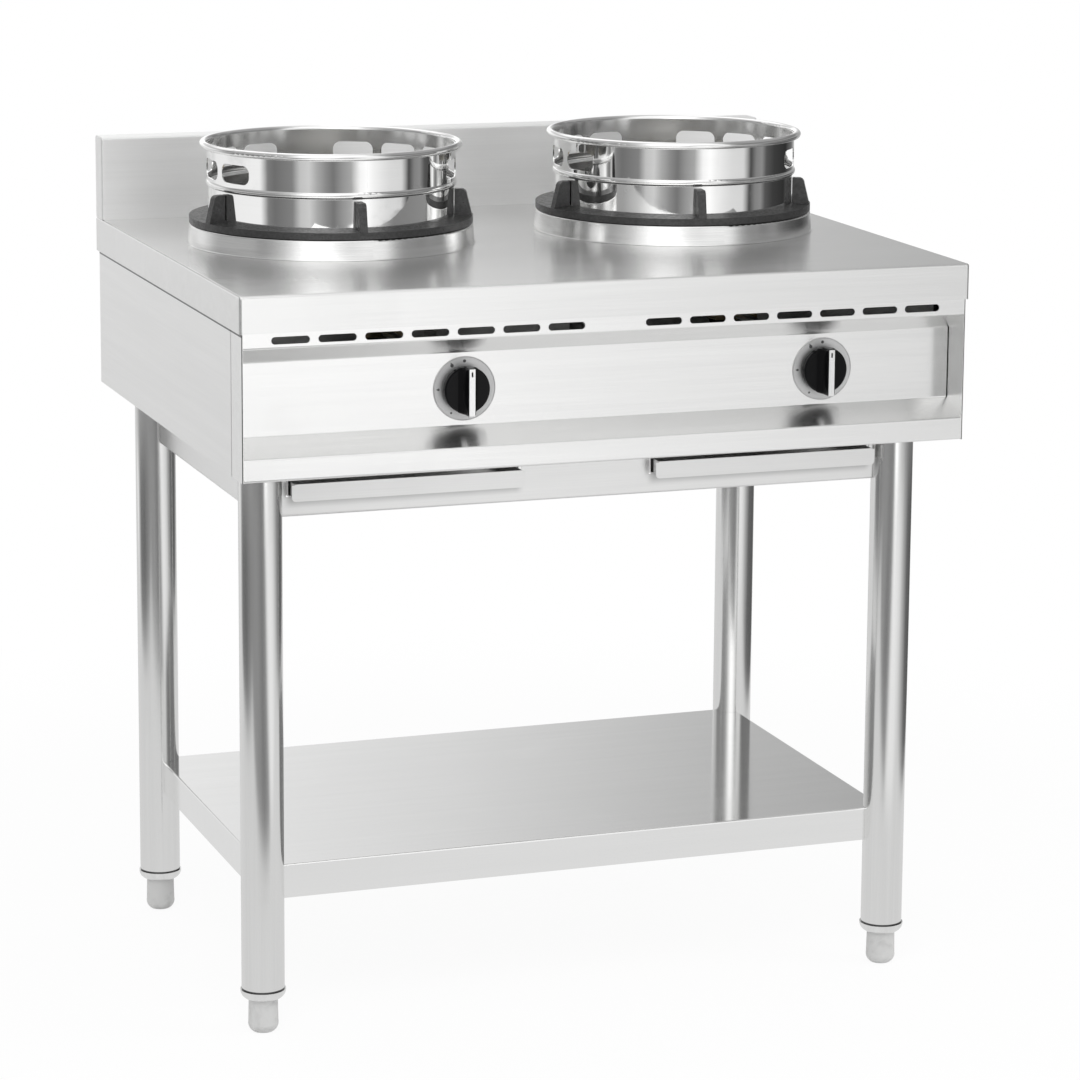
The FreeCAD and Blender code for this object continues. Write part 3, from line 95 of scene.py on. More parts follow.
class Nodes:
    """Short way to lay out a node tree: each call makes a node, sets its values and links its inputs."""

    def __init__(self, tree):
        self.tree = tree
        tree.nodes.clear()

    def add(self, kind, out=0, settings=None, **inputs):
        """Makes a node and gives one of its outputs, or the node itself where out is None. An input is
        named, or numbered as in i0, and takes a value or an output. '_' in a name stands for a space."""
        node = self.tree.nodes.new(kind)
        for key, value in (settings or {}).items():
            setattr(node, key, value)
        for key, value in inputs.items():
            slot = int(key[1:]) if key[0] == "i" and key[1:].isdigit() else key.replace("_", " ")
            if isinstance(value, bpy.types.NodeSocket):
                self.tree.links.new(value, node.inputs[slot])
            else:
                node.inputs[slot].default_value = value
        return node if out is None else node.outputs[out]

    def math(self, operation, a, b=0.0, clamp=False):
        return self.add("ShaderNodeMath", settings={"operation": operation, "use_clamp": clamp}, i0=a, i1=b)

    def vector(self, operation, a, b, out=0):
        return self.add("ShaderNodeVectorMath", out=out, settings={"operation": operation}, i0=a, i1=b)

    def between(self, value, low, high, to_low=0.0, to_high=1.0):
        """Smooth step from one pair of values to another."""
        return self.add(
            "ShaderNodeMapRange", settings={"interpolation_type": "SMOOTHSTEP"},
            Value=value, From_Min=low, From_Max=high, To_Min=to_low, To_Max=to_high,
        )

    def blend(self, share, a, b):
        """From number a to number b."""
        return self.add("ShaderNodeMix", settings={"data_type": "FLOAT"}, i0=share, i2=a, i3=b)

    def tint(self, share, a, b):
        """From colour a to colour b, each an output or red, green and blue."""
        a, b = (c if isinstance(c, bpy.types.NodeSocket) else (*c, 1) for c in (a, b))
        return self.add("ShaderNodeMix", out=2, settings={"data_type": "RGBA"}, i0=share, i6=a, i7=b)

    def group(self, tree, **inputs):
        return self.add("ShaderNodeGroup", out=None, settings={"node_tree": tree}, **inputs)

    def place(self):
        """The surface point in the piece's own coordinates."""
        return self.add("ShaderNodeTexCoord", out="Object")

    def seen_directly(self, path):
        """1 for the camera's own rays, and for those that passed through something clear."""
        return self.math("MAXIMUM", path.outputs["Is Camera Ray"], path.outputs["Is Transmission Ray"])


def node_group(name, inputs, outputs):
    """Node group whose inputs are numbers with a default, or vectors where that is None, and whose outputs
    are numbers."""
    tree = bpy.data.node_groups.new(name, "ShaderNodeTree")
    for label, default in inputs.items():
        kind = "NodeSocketVector" if default is None else "NodeSocketFloat"
        socket = tree.interface.new_socket(label, in_out="INPUT", socket_type=kind)
        if default is not None:
            socket.default_value = default
    for label in outputs:
        tree.interface.new_socket(label, in_out="OUTPUT", socket_type="NodeSocketFloat")
    return tree, Nodes(tree)


# What polished steel sees round the range: azimuth in degrees from +Y towards +X, and how bright it is
# there. SKY is above the horizon. The floor beyond the paper has four zones, each further out than the one
# before. The first three have these levels, and the outermost has the darker of the third's and the sky's.
SKY = (
    (0, 1.18), (14, 1.30), (18, 1.10), (22, 0.78), (26, 0.58), (34, 0.42), (50, 0.32), (108, 0.30),
    (122, 0.28), (136, 0.27), (142, 0.40), (147, 0.60), (152, 1.06), (162, 1.02), (180, 1.05), (188, 1.20),
    (198, 1.78), (213, 1.84), (224, 1.26), (236, 0.72), (250, 0.42), (300, 0.38), (318, 0.80), (340, 0.92),
    (360, 1.18),
)
FLOOR_MIDDLE = (
    (0, 0.86), (30, 0.50), (60, 0.10), (98, 0.14), (110, 0.30), (124, 0.50), (136, 0.76), (148, 0.88),
    (166, 0.92), (174, 0.78), (182, 0.34), (190, 0.24), (200, 0.21), (216, 0.29), (230, 0.29), (250, 0.23),
    (270, 0.13), (292, 0.17), (302, 0.44), (314, 0.96), (360, 0.86),
)
FLOOR_FAR = (
    (0, 0.86), (30, 0.60), (60, 0.20), (110, 0.26), (130, 0.38), (146, 0.46), (152, 0.56), (158, 0.78),
    (164, 1.06), (169, 1.62), (174, 1.98), (179, 1.50), (184, 0.40), (190, 0.22), (222, 0.22), (240, 0.36),
    (300, 0.38), (322, 0.60), (334, 0.72), (342, 0.96), (360, 0.92),
)
FLOOR_EDGE = (
    (0, 0.86), (22, 0.98), (34, 0.60), (50, 0.16), (68, 0.03), (90, 0.05), (102, 0.10), (108, 0.28),
    (115, 0.24), (122, 0.06), (130, 0.72), (143, 0.76), (150, 0.84), (158, 0.96), (165, 1.12), (172, 1.00),
    (180, 0.42), (188, 0.32), (196, 0.19), (203, 0.28), (211, 0.44), (218, 0.66), (226, 0.58), (233, 0.24),
    (250, 0.17), (257, 0.22), (265, 0.94), (300, 0.92), (326, 0.88), (334, 0.74), (345, 0.80), (360, 0.86),
)
BRIGHTEST = 2.0


def azimuth_group(name, levels):
    """Brightness of the room in a direction, by the direction's azimuth alone."""
    tree, n = node_group(name, {"Direction": None}, ["Brightness"])
    split = n.add("ShaderNodeSeparateXYZ", out=None, i0=n.add("NodeGroupInput"))
    turn = n.math("ARCTAN2", split.outputs["X"], split.outputs["Y"])
    share = n.math("FRACT", n.math("ADD", n.math("DIVIDE", turn, 2 * math.pi), 1.0))
    ramp = n.add("ShaderNodeValToRGB", out=None, Fac=share)
    stops = ramp.color_ramp.elements
    for degrees, level in levels[1:-1]:
        stops.new(degrees / 360.0)
    for stop, (degrees, level) in zip(sorted(stops, key=lambda s: s.position), levels):
        stop.position = degrees / 360.0
        stop.color = (level / BRIGHTEST,) * 3 + (1.0,)
    n.add("NodeGroupOutput", out=None, i0=n.math("MULTIPLY", ramp.outputs[0], BRIGHTEST))
    return tree


SKY_GROUP = azimuth_group("studio_sky", SKY)
MIDDLE_GROUP = azimuth_group("studio_floor_middle", FLOOR_MIDDLE)
FAR_GROUP = azimuth_group("studio_floor_far", FLOOR_FAR)
EDGE_GROUP = azimuth_group("studio_floor_edge", FLOOR_EDGE)

# The room's brightness to matt surfaces, and how the walls change higher up. A rise is the sine of a
# direction's angle over the horizon, and each pair says where a change begins and ends.
ROOM_FOR_MATT = 0.80
UPPER_WALL_RISE = (0.16, 0.27)
UPPER_WALL = 0.62
OVERHANG_RISE = (0.35, 0.55)
OVERHANG = 1.15
OVERHANG_BRIGHTEST = 1.38
CEILING_RISE = (0.86, 0.97)
CEILING = 1.0
WHITE = (1, 1, 1, 1)


def brightness(n, group, direction):
    return n.group(group, Direction=direction).outputs[0]


def studio_room():
    """White to the camera, and the room's own bright and dark sides to polished metal: the walls by azimuth,
    dimmer higher up, under a bright overhang and ceiling."""
    world = bpy.data.worlds.new("studio_room")
    world.use_nodes = True
    n = Nodes(world.node_tree)
    path = n.add("ShaderNodeLightPath", out=None)
    direction = n.add("ShaderNodeTexCoord", out="Generated")
    rise = n.add("ShaderNodeSeparateXYZ", out="Z", i0=direction)
    wall = brightness(n, SKY_GROUP, direction)
    overhang = n.math("MINIMUM", n.math("MULTIPLY", wall, OVERHANG), OVERHANG_BRIGHTEST)
    level = n.blend(n.between(rise, *UPPER_WALL_RISE), wall, n.math("MULTIPLY", wall, UPPER_WALL))
    level = n.blend(n.between(rise, *OVERHANG_RISE), level, overhang)
    level = n.blend(n.between(rise, *CEILING_RISE), level, CEILING)
    matt = n.add("ShaderNodeBackground", Color=WHITE, Strength=ROOM_FOR_MATT)
    seen = n.add("ShaderNodeBackground", Color=WHITE, Strength=1.0)
    mirrored = n.add("ShaderNodeBackground", Color=WHITE, Strength=level)
    mixed = n.add("ShaderNodeMixShader", i0=path.outputs["Is Glossy Ray"], i1=matt, i2=mirrored)
    mixed = n.add("ShaderNodeMixShader", i0=n.seen_directly(path), i1=mixed, i2=seen)
    n.add("ShaderNodeOutputWorld", out=None, Surface=mixed)
    bpy.context.scene.world = world


FLOOR_DROP = 0.0006
FLOOR_HUB = 0.2
FLOOR_GROWTH = 1.32
FLOOR_RINGS = 24
FLOOR_AROUND = 96
PAPER_FRONT = -1.02
PAPER_LEFT = -1.85
PAPER_RIGHT = 1.25
PAPER_SOFT = 0.12
PAPER_LEVEL = 0.73
PAPER_COLOUR = (0.92, 0.92, 0.92, 1)
FAR_FROM = (3.3, 3.9)
EDGE_FROM = (6.75, 6.95)
OUTERMOST_FROM = (9.0, 9.6)
SHADOW_FADE = (0.91, 1.69)
SHADOW_LEVEL = 0.08


def mesh_piece(name, points, *faces):
    """New piece from rows of points, and of corner numbers."""
    mesh = bpy.data.meshes.new(name)
    mesh.from_pydata(points.tolist(), [], sum((rows.tolist() for rows in faces), []))
    return scene_object(name, mesh)


def grid_quads(rows, columns, closed=False):
    """Four-cornered faces of a grid of points that is numbered row by row. Its columns run round and close,
    and so do its rows if asked."""
    i, j = np.meshgrid(np.arange(rows if closed else rows - 1), np.arange(columns), indexing="ij")
    up, along = (i + 1) % rows, (j + 1) % columns
    corners = [i * columns + j, up * columns + j, up * columns + along, i * columns + along]
    return np.stack(corners, -1).reshape(-1, 4)


def new_material(name):
    material = bpy.data.materials.new(name)
    material.use_nodes = True
    return material, Nodes(material.node_tree)


def white_paper():
    """White to the camera apart from a faint shadow under the range. Polished metal sees bright paper near
    the range, and the floor's zones beyond the paper's edges."""
    material, n = new_material("white_paper")
    path = n.add("ShaderNodeLightPath", out=None)
    place = n.place()
    split = n.add("ShaderNodeSeparateXYZ", out=None, i0=place)
    distance = n.add("ShaderNodeVectorMath", out=1, settings={"operation": "LENGTH"}, i0=place)
    front = n.between(split.outputs["Y"], PAPER_FRONT - PAPER_SOFT, PAPER_FRONT + PAPER_SOFT)
    left = n.between(split.outputs["X"], PAPER_LEFT - PAPER_SOFT, PAPER_LEFT + PAPER_SOFT)
    right = n.between(split.outputs["X"], PAPER_RIGHT - PAPER_SOFT, PAPER_RIGHT + PAPER_SOFT, 1.0, 0.0)
    middle, far = brightness(n, MIDDLE_GROUP, place), brightness(n, FAR_GROUP, place)
    edge = brightness(n, EDGE_GROUP, place)
    outermost = n.math("MINIMUM", edge, brightness(n, SKY_GROUP, place))
    beyond = n.blend(n.between(distance, *FAR_FROM), middle, far)
    beyond = n.blend(n.between(distance, *EDGE_FROM), beyond, edge)
    beyond = n.blend(n.between(distance, *OUTERMOST_FROM), beyond, outermost)
    level = n.blend(n.math("MULTIPLY", front, n.math("MULTIPLY", left, right)), beyond, PAPER_LEVEL)
    shadow = n.between(distance, *SHADOW_FADE, SHADOW_LEVEL, 0.0)
    clear = n.math("MULTIPLY", n.seen_directly(path), n.math("SUBTRACT", 1.0, shadow))
    paper = n.add("ShaderNodeBsdfDiffuse", Color=PAPER_COLOUR)
    white = n.add("ShaderNodeEmission", Color=WHITE, Strength=1.0)
    mirrored = n.add("ShaderNodeEmission", Color=WHITE, Strength=level)
    mixed = n.add("ShaderNodeMixShader", i0=clear, i1=paper, i2=white)
    mixed = n.add("ShaderNodeMixShader", i0=path.outputs["Is Glossy Ray"], i1=mixed, i2=mirrored)
    n.add("ShaderNodeOutputMaterial", out=None, Surface=mixed)
    return material


def paper_floor():
    """Round floor: a hub, and rings of points (r cos a, r sin a) whose radius grows by a constant factor."""
    a = np.linspace(0, 2 * np.pi, FLOOR_AROUND, endpoint=False)
    r = FLOOR_HUB * FLOOR_GROWTH ** np.arange(FLOOR_RINGS)
    flat = np.stack([np.outer(r, np.cos(a)), np.outer(r, np.sin(a))], -1).reshape(-1, 2)
    flat = np.vstack([[[0, 0]], flat])
    points = np.column_stack([flat, np.full(len(flat), -FLOOR_DROP)])
    first = np.arange(FLOOR_AROUND)
    hub = np.stack([np.zeros(FLOOR_AROUND, int), first + 1, (first + 1) % FLOOR_AROUND + 1], -1)
    floor = mesh_piece("paper_floor", points, grid_quads(FLOOR_RINGS, FLOOR_AROUND) + 1, hub)
    floor.data.materials.append(white_paper())


photographers_camera()
studio_room()
paper_floor()
soft_lamp("lamp_over_camera", place=(-1.2, -2.6, 3.0), target=(0, 0, 0.6), width=2.4, height=1.6, watts=42)
soft_lamp("lamp_right", place=(2.6, -1.6, 1.8), target=(0, 0, 0.7), width=1.2, height=2.0, watts=16)


# ---- Worktop, splashback, side panels and the rest of the body's sheet ----
# Pressed and folded from stainless steel sheet with a satin grain that runs along each sheet. The worktop is
# one sheet, the splashback is a closed fold along its rear, and the panels hang under it.

FINE_SHARE = 0.45
CLOUD_SHARE = 0.4
ROUGHNESS_SWING = 4.0


def grain_group():
    """Satin grain: long thin lines along the vector's X. Streak is where the lines are light or dark,
    Roughness varies with it and with broad clouds, and Height is the depth of the lines."""
    given = {
        "Vector": None, "Line Length": 0.12, "Line Width": 0.0008, "Base Roughness": 0.3, "Variation": 0.08,
    }
    tree, n = node_group("sheet_grain", given, ["Streak", "Roughness", "Height"])
    vector, length, width, rough, vary = n.add("NodeGroupInput", out=None).outputs[:5]
    along, across = n.math("DIVIDE", 1.0, length), n.math("DIVIDE", 1.0, width)
    fine = n.vector("MULTIPLY", vector, n.add("ShaderNodeCombineXYZ", i0=along, i1=across, i2=across))
    fine_lines = n.add("ShaderNodeTexNoise", Vector=fine, Scale=1.0, Detail=2.0, Roughness=0.6)
    broad = n.vector("MULTIPLY", fine, (0.35, 0.07, 0.07))
    broad_lines = n.add("ShaderNodeTexNoise", Vector=broad, Scale=1.0, Detail=3.0, Roughness=0.5)
    cloud = n.add("ShaderNodeTexNoise", Vector=vector, Scale=4.5, Detail=2.0, Roughness=0.5)
    streak = n.math(
        "ADD", n.math("MULTIPLY", fine_lines, FINE_SHARE), n.math("MULTIPLY", broad_lines, 1 - FINE_SHARE),
    )
    drift = n.math(
        "ADD", n.math("MULTIPLY", streak, 1 - CLOUD_SHARE), n.math("MULTIPLY", cloud, CLOUD_SHARE),
    )
    swing = n.math("MULTIPLY", n.math("SUBTRACT", drift, 0.5), n.math("MULTIPLY", vary, ROUGHNESS_SWING))
    n.add("NodeGroupOutput", out=None, i0=streak, i1=n.math("ADD", rough, swing), i2=fine_lines)
    return tree


def smudge_group():
    """Faint wiped patches and specks: Mark is 0 on clean metal and up to 1 where it was touched."""
    tree, n = node_group("wiped_marks", {"Vector": None, "Size": 0.12}, ["Mark"])
    vector, size = n.add("NodeGroupInput", out=None).outputs[:2]
    patch = n.add(
        "ShaderNodeTexNoise", Vector=vector, Scale=n.math("DIVIDE", 1.0, size), Detail=4.0, Roughness=0.62,
        Distortion=0.6,
    )
    n.add("NodeGroupOutput", out=None, i0=n.between(patch, 0.48, 0.72))
    return tree


GRAIN = grain_group()
SMUDGE = smudge_group()
GRAIN_TURN = {"X": (0, 0, 0), "Y": (0, 0, math.pi / 2), "Z": (0, math.pi / 2, 0)}
ACROSS_GRAIN = {"X": (0.0, 1.0, 1.0), "Y": (1.0, 0.0, 1.0)}


def grain_along(axis):
    """Lays a surface out for its grain: the surface point, turned so that an axis of the range becomes X."""
    settings = {"rotation_type": "EULER_XYZ"}
    return lambda n: n.add(
        "ShaderNodeVectorRotate", settings=settings, Vector=n.place(), Rotation=GRAIN_TURN[axis],
    )


def grain_round(centre, nose=False):
    """Lays a surface out for its grain about an upright axis, or one from front to back: the length round
    it, the radius, and the distance along it."""
    def laid_out(n):
        split = n.add("ShaderNodeSeparateXYZ", out=None, i0=n.vector("SUBTRACT", n.place(), centre))
        x, y, z = split.outputs[:3]
        a, b, axis = (x, z, y) if nose else (x, y, z)
        radius = n.math("SQRT", n.math("ADD", n.math("MULTIPLY", a, a), n.math("MULTIPLY", b, b)))
        length = n.math("MULTIPLY", n.math("ARCTAN2", a, b), radius)
        return n.add("ShaderNodeCombineXYZ", i0=length, i1=radius, i2=axis)
    return laid_out


LINE = 0.0007
# Colour of dark joint lines and painted shade lines. Painted shadows also darken towards it.
JOINT_AND_SHADE_COLOUR = (0.10, 0.10, 0.10)
SHADE_SOFT = 0.012
SHADE_DEPTH = 0.42
SMEAR = 0.7


def joint_and_shade_mask(n, seams, soft=0.0):
    """1 inside any of a few thin bands, which may have a soft edge: dark joint lines, painted shade lines
    and painted shadows. Each is a list of (axis, middle, half width) that must all hold, and X counts on
    both sides of the middle plane."""
    split = n.add("ShaderNodeSeparateXYZ", out=None, i0=n.place())
    place = {"X": n.math("ABSOLUTE", split.outputs["X"]), "Y": split.outputs["Y"], "Z": split.outputs["Z"]}
    total = None
    for seam in seams:
        inside = None
        for axis, middle, half in seam:
            off = n.math("ABSOLUTE", n.math("SUBTRACT", place[axis], middle))
            hit = n.between(off, half, half + soft, 1.0, 0.0) if soft else n.math("LESS_THAN", off, half)
            inside = hit if inside is None else n.math("MULTIPLY", inside, hit)
        total = inside if total is None else n.math("MAXIMUM", total, inside)
    return total


def shade(colour, by):
    """A colour made darker or lighter, up to white."""
    return [min(1.0, c * by) for c in colour]


def surface(n, **inputs):
    """The material's own shader and its output."""
    shader = n.add("ShaderNodeBsdfPrincipled", **inputs)
    n.add("ShaderNodeOutputMaterial", out=None, Surface=shader)


def steel(
    name, colour, roughness, laid_out, vary=0.05, streak=0.06, depth=0.00002, line=(0.12, 0.0008),
    marks=0.05, across=None, seams=(), shades=(), metal=1.0,
):
    """Bright steel whose colour, roughness and height follow its grain, with faint wiped marks. laid_out
    gives the surface point for the grain, and line is the length and width of its lines. A brushed sheet
    smears what it reflects across its grain. Thin dark lines mark its joints, and some of them are painted
    shade in corners and under lips. Painted shadows are soft, fainter dark bands."""
    material, n = new_material(name)
    grain = n.group(
        GRAIN, Vector=laid_out(n), Line_Length=line[0], Line_Width=line[1], Base_Roughness=roughness,
        Variation=vary,
    )
    mark = n.group(SMUDGE, Vector=n.place()).outputs[0]
    lines = n.between(grain.outputs["Streak"], 0.3, 0.7)
    tint = n.tint(lines, shade(colour, 1 - streak), shade(colour, 1 + streak))
    # Dark joint lines and painted shade lines first, then the softer painted shadows.
    if seams:
        tint = n.tint(joint_and_shade_mask(n, seams), tint, JOINT_AND_SHADE_COLOUR)
    if shades:
        tint = n.tint(n.math("MULTIPLY", joint_and_shade_mask(n, shades, SHADE_SOFT), SHADE_DEPTH), tint, JOINT_AND_SHADE_COLOUR)
    smear = {}
    if across:
        smear = {"Anisotropic": SMEAR, "Tangent": n.add("ShaderNodeCombineXYZ", **dict(zip("XYZ", across)))}
    surface(
        n, Base_Color=tint, Metallic=metal, **smear,
        Roughness=n.math("ADD", grain.outputs["Roughness"], n.math("MULTIPLY", mark, marks), clamp=True),
        Normal=n.add("ShaderNodeBump", Height=grain.outputs["Height"], Strength=0.35, Distance=depth),
    )
    return material


def dress(material, *names):
    """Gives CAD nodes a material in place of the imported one."""
    for name in names:
        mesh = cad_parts[name].data
        mesh.materials.clear()
        mesh.materials.append(material)


SATIN = (0.86, 0.86, 0.855)


def satin(name, colour, roughness, along, **more):
    """Satin sheet: a fine even grain along an axis, with hardly any relief."""
    return steel(
        name, colour, roughness, grain_along(along), vary=0.02, streak=0.025, depth=0.000006, marks=0.02,
        across=ACROSS_GRAIN[along], **more,
    )


top_low, top_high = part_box("worktop")
panel_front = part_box("side_panel_left")[0].y
# Painted shadow: a thin dark line on the panels just under the worktop's lip.
SHADOW_UNDER_LIP = ("Z", top_low.z - 3.2 * LINE, 2.6 * LINE)
# Dark lines along the front right corner of the worktop's lip and along its right top edge.
dress(
    satin(
        "satin_worktop", SATIN, 0.25, "X", seams=[
            [("X", top_high.x, LINE), ("Y", top_low.y, LINE)],
            [("X", top_high.x, 2 * LINE), ("Z", top_high.z, LINE)],
        ],
    ),
    "worktop",
)
dress(satin("satin_splashback", (0.94, 0.94, 0.935), 0.46, "X", metal=0.8), "splashback")
# The side panels carry that painted shadow line, and a dark joint line along their front edge.
dress(
    satin("satin_side", SATIN, 0.30, "Y", seams=[[SHADOW_UNDER_LIP], [("Y", panel_front, 1.2 * LINE)]]),
    "side_panel_left", "side_panel_right",
)
dress(steel("satin_back", (0.74, 0.74, 0.735), 0.34, grain_along("X")), "rear_panel", "body_floor")


# ---- Front fascia ----
# One folded satin sheet with its grain along the front. Its set-back panel carries the dials. Painted shade
# lines darken the corners where its end cheeks meet the panel and the front, and a painted shadow line runs
# under the worktop's lip.

CHEEK_SHEET = 0.0018

fascia_low, fascia_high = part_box("front_fascia")
panel_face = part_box("dial_plate_left")[1].y
# Painted shade lines down the cheeks' front corners and where they meet the set-back panel, and the painted
# shadow line under the lip.
dress(
    satin(
        "satin_fascia", (0.90, 0.90, 0.895), 0.24, "X", seams=[
            [("X", fascia_high.x, 1.5 * LINE), ("Y", fascia_low.y, 1.5 * LINE)],
            [("X", fascia_high.x - CHEEK_SHEET, LINE), ("Y", panel_face, LINE)],
            [("X", fascia_high.x, LINE / 2), SHADOW_UNDER_LIP],
        ],
    ),
    "front_fascia",
)


# ---- Dials ----
# Satin aluminium discs behind the knobs, printed in dark grey: a dot at the top, then anticlockwise a large
# flame, a small flame and a smaller dot for the pilot.

SIDES = ("left", "right")
INK_DEPTH = 0.00006
MARK_RADIUS = 0.0324
RIM_RISE = 0.0004
FLAME = (
    (0.0, -1.0), (0.55, -0.72), (0.62, -0.1), (0.28, 0.42), (0.05, 1.0), (-0.12, 0.35), (-0.5, 0.05),
    (-0.6, -0.6),
)


def flat_marks(name, outlines, centre, y):
    """Thin printed shapes: each outline of (x, z) points becomes a fan from its middle, facing the cook."""
    points, faces = [], []
    for shape in outlines:
        first, count = sum(map(len, points)), len(shape)
        ring = np.stack([centre[0] + shape[:, 0], np.full(count, y), centre[1] + shape[:, 1]], -1)
        points.append(np.vstack([ring.mean(0), ring]))
        i = np.arange(count)
        faces.append(first + np.stack([np.zeros(count, int), 1 + i, 1 + (i + 1) % count], -1))
    return mesh_piece(name, np.vstack(points), *faces)


def smooth_loop(corners, steps=6):
    """Closed curve through the middles of a polygon's sides: each corner is a parabola's control point."""
    c = np.asarray(corners, float)
    start, end = (np.roll(c, 1, 0) + c) / 2, (c + np.roll(c, -1, 0)) / 2
    t = np.linspace(0, 1, steps, endpoint=False)[None, :, None]
    loop = (1 - t) ** 2 * start[:, None] + 2 * t * (1 - t) * c[:, None] + t ** 2 * end[:, None]
    return loop.reshape(-1, 2)


def unit_circle(steps=20):
    """Points (cos a, sin a) at even steps."""
    a = np.linspace(0, 2 * np.pi, steps, endpoint=False)
    return np.stack([np.cos(a), np.sin(a)], -1)


def placed(shape, size, degrees):
    """Scales an outline and puts it on the dial, turned so that its top points outwards. Degrees run
    anticlockwise from the top as the cook sees it."""
    a = math.radians(degrees)
    turn = np.array([[math.cos(a), -math.sin(a)], [math.sin(a), math.cos(a)]])
    return (np.asarray(shape) * size + [0, MARK_RADIUS]) @ turn.T


def dial_ink():
    """Dark grey print, a little uneven."""
    material, n = new_material("dial_ink")
    worn = n.between(n.add("ShaderNodeTexNoise", Vector=n.place(), Scale=900.0, Detail=2.0), 0.35, 0.75)
    surface(n, Base_Color=n.tint(worn, (0.05, 0.05, 0.05), (0.14, 0.14, 0.14)), Roughness=0.5)
    return material


INK = dial_ink()
DOT = unit_circle()
FLAME_LOOP = smooth_loop(FLAME)
PRINT = [
    placed(DOT, 0.0019, 0), placed(FLAME_LOOP, 0.0036, 29), placed(FLAME_LOOP, 0.0025, 90),
    placed(DOT, 0.0013, 150),
]
for side in SIDES:
    low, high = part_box("dial_plate_" + side)
    middle = ((low.x + high.x) / 2, (low.z + high.z) / 2)
    marks = flat_marks("dial_marks_" + side, PRINT, middle, low.y + RIM_RISE - INK_DEPTH)
    marks.data.materials.append(INK)
    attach(marks, "range_body")
    dress(
        steel(
            "dial_" + side, (0.70, 0.70, 0.70), 0.48, grain_round((middle[0], 0.0, middle[1]), nose=True),
            line=(0.012, 0.0005), marks=0.02, streak=0.09,
        ),
        "dial_plate_" + side,
    )


# ---- Knobs ----
# Moulded in black plastic and pushed onto the spindles. A silver strip is let into the face of each grip,
# and the black shows through the slot near its top.

def moulded_plastic(name, colour, roughness, texture=0.0006):
    """Plastic with a fine moulded texture and a little handling gloss."""
    material, n = new_material(name)
    place = n.place()
    fine = n.add("ShaderNodeTexNoise", Vector=place, Scale=1 / texture, Detail=2.0)
    handled = n.math("MULTIPLY", n.group(SMUDGE, Vector=place, Size=0.01).outputs[0], 0.08)
    surface(
        n, Base_Color=n.tint(fine, shade(colour, 0.8), shade(colour, 1.3)), Specular_IOR_Level=0.12,
        Roughness=n.math("SUBTRACT", roughness, handled),
        Normal=n.add("ShaderNodeBump", Height=fine, Strength=0.3, Distance=0.00004),
    )
    return material


dress(moulded_plastic("knob_plastic", (0.004, 0.004, 0.0045), 0.20), "knob_left", "knob_right")
dress(
    steel("silver_strip", (0.90, 0.90, 0.90), 0.26, grain_along("Z"), line=(0.02, 0.0004), marks=0.02),
    "knob_insert_left", "knob_insert_right",
)


# ---- Burner collars and spill bowls ----
# Spun from stainless sheet, so their grain runs round them. The collar stands on the worktop round the
# opening, with a fine polished bead round its foot, and the bowl hangs inside it.

BEAD = 0.0008


def turned_bead(name, centre, radius, z, around=160, section=10):
    """Round bead: a circle of the bead's radius, carried round the upright axis at a larger radius."""
    a = np.linspace(0, 2 * np.pi, around, endpoint=False)[:, None]
    b = np.linspace(0, 2 * np.pi, section, endpoint=False)[None, :]
    r = radius + BEAD * np.cos(b)
    level = np.broadcast_to(z + BEAD * np.sin(b), (around, section))
    points = np.stack([centre[0] + r * np.cos(a), centre[1] + r * np.sin(a), level], -1)
    piece = mesh_piece(name, points.reshape(-1, 3), grid_quads(around, section, closed=True))
    piece.data.shade_smooth()
    return piece


POLISHED_BEAD = steel("polished_bead", (0.92, 0.92, 0.915), 0.12, grain_along("X"), line=(0.01, 0.001))
for side in SIDES:
    low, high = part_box("burner_collar_" + side)
    burner = ((low.x + high.x) / 2, (low.y + high.y) / 2, 0.0)
    bead = turned_bead("collar_bead_" + side, burner, (high.x - low.x) / 2 + BEAD / 2, top_high.z + BEAD)
    bead.data.materials.append(POLISHED_BEAD)
    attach(bead, "range_body")
    dress(
        steel("spun_collar_" + side, SATIN, 0.20, grain_round(burner), line=(0.10, 0.0009), marks=0.03),
        "burner_collar_" + side,
    )
    dress(
        steel(
            "spun_bowl_" + side, (0.88, 0.88, 0.87), 0.42, grain_round(burner), line=(0.10, 0.0012),
            marks=0.08,
        ),
        "spill_bowl_" + side,
    )


# ---- Trivets ----
# Cast in iron and enamelled black: a slightly crowned ring with five upright lugs that centre the wok ring.
# The cast skin shows through the enamel.

def cast_iron(name, colour, roughness, pit=0.004):
    """Casting: uneven skin in two sizes of noise, and lighter where it is rubbed."""
    material, n = new_material(name)
    place = n.place()
    skin = n.add("ShaderNodeTexNoise", Vector=place, Scale=1 / pit, Detail=5.0, Roughness=0.6)
    fine = n.add("ShaderNodeTexNoise", Vector=place, Scale=6 / pit, Detail=2.0)
    height = n.math("ADD", skin, n.math("MULTIPLY", fine, 0.35))
    surface(
        n, Base_Color=n.tint(n.between(skin, 0.35, 0.7), shade(colour, 0.75), shade(colour, 1.45)),
        Roughness=n.between(skin, 0.3, 0.7, roughness + 0.1, roughness - 0.1), Specular_IOR_Level=0.6,
        Normal=n.add("ShaderNodeBump", Height=height, Strength=0.5, Distance=0.0004),
    )
    return material


dress(cast_iron("enamelled_iron", (0.030, 0.030, 0.030), 0.36), "trivet_left", "trivet_right")


# ---- Wok rings ----
# Bands of polished stainless with a swaged bead, a rolled lip and pressed-out holes. The polish is bright
# outside, duller inside, and has slight waves from the rolling.

INNER_ROUGHNESS = 0.13


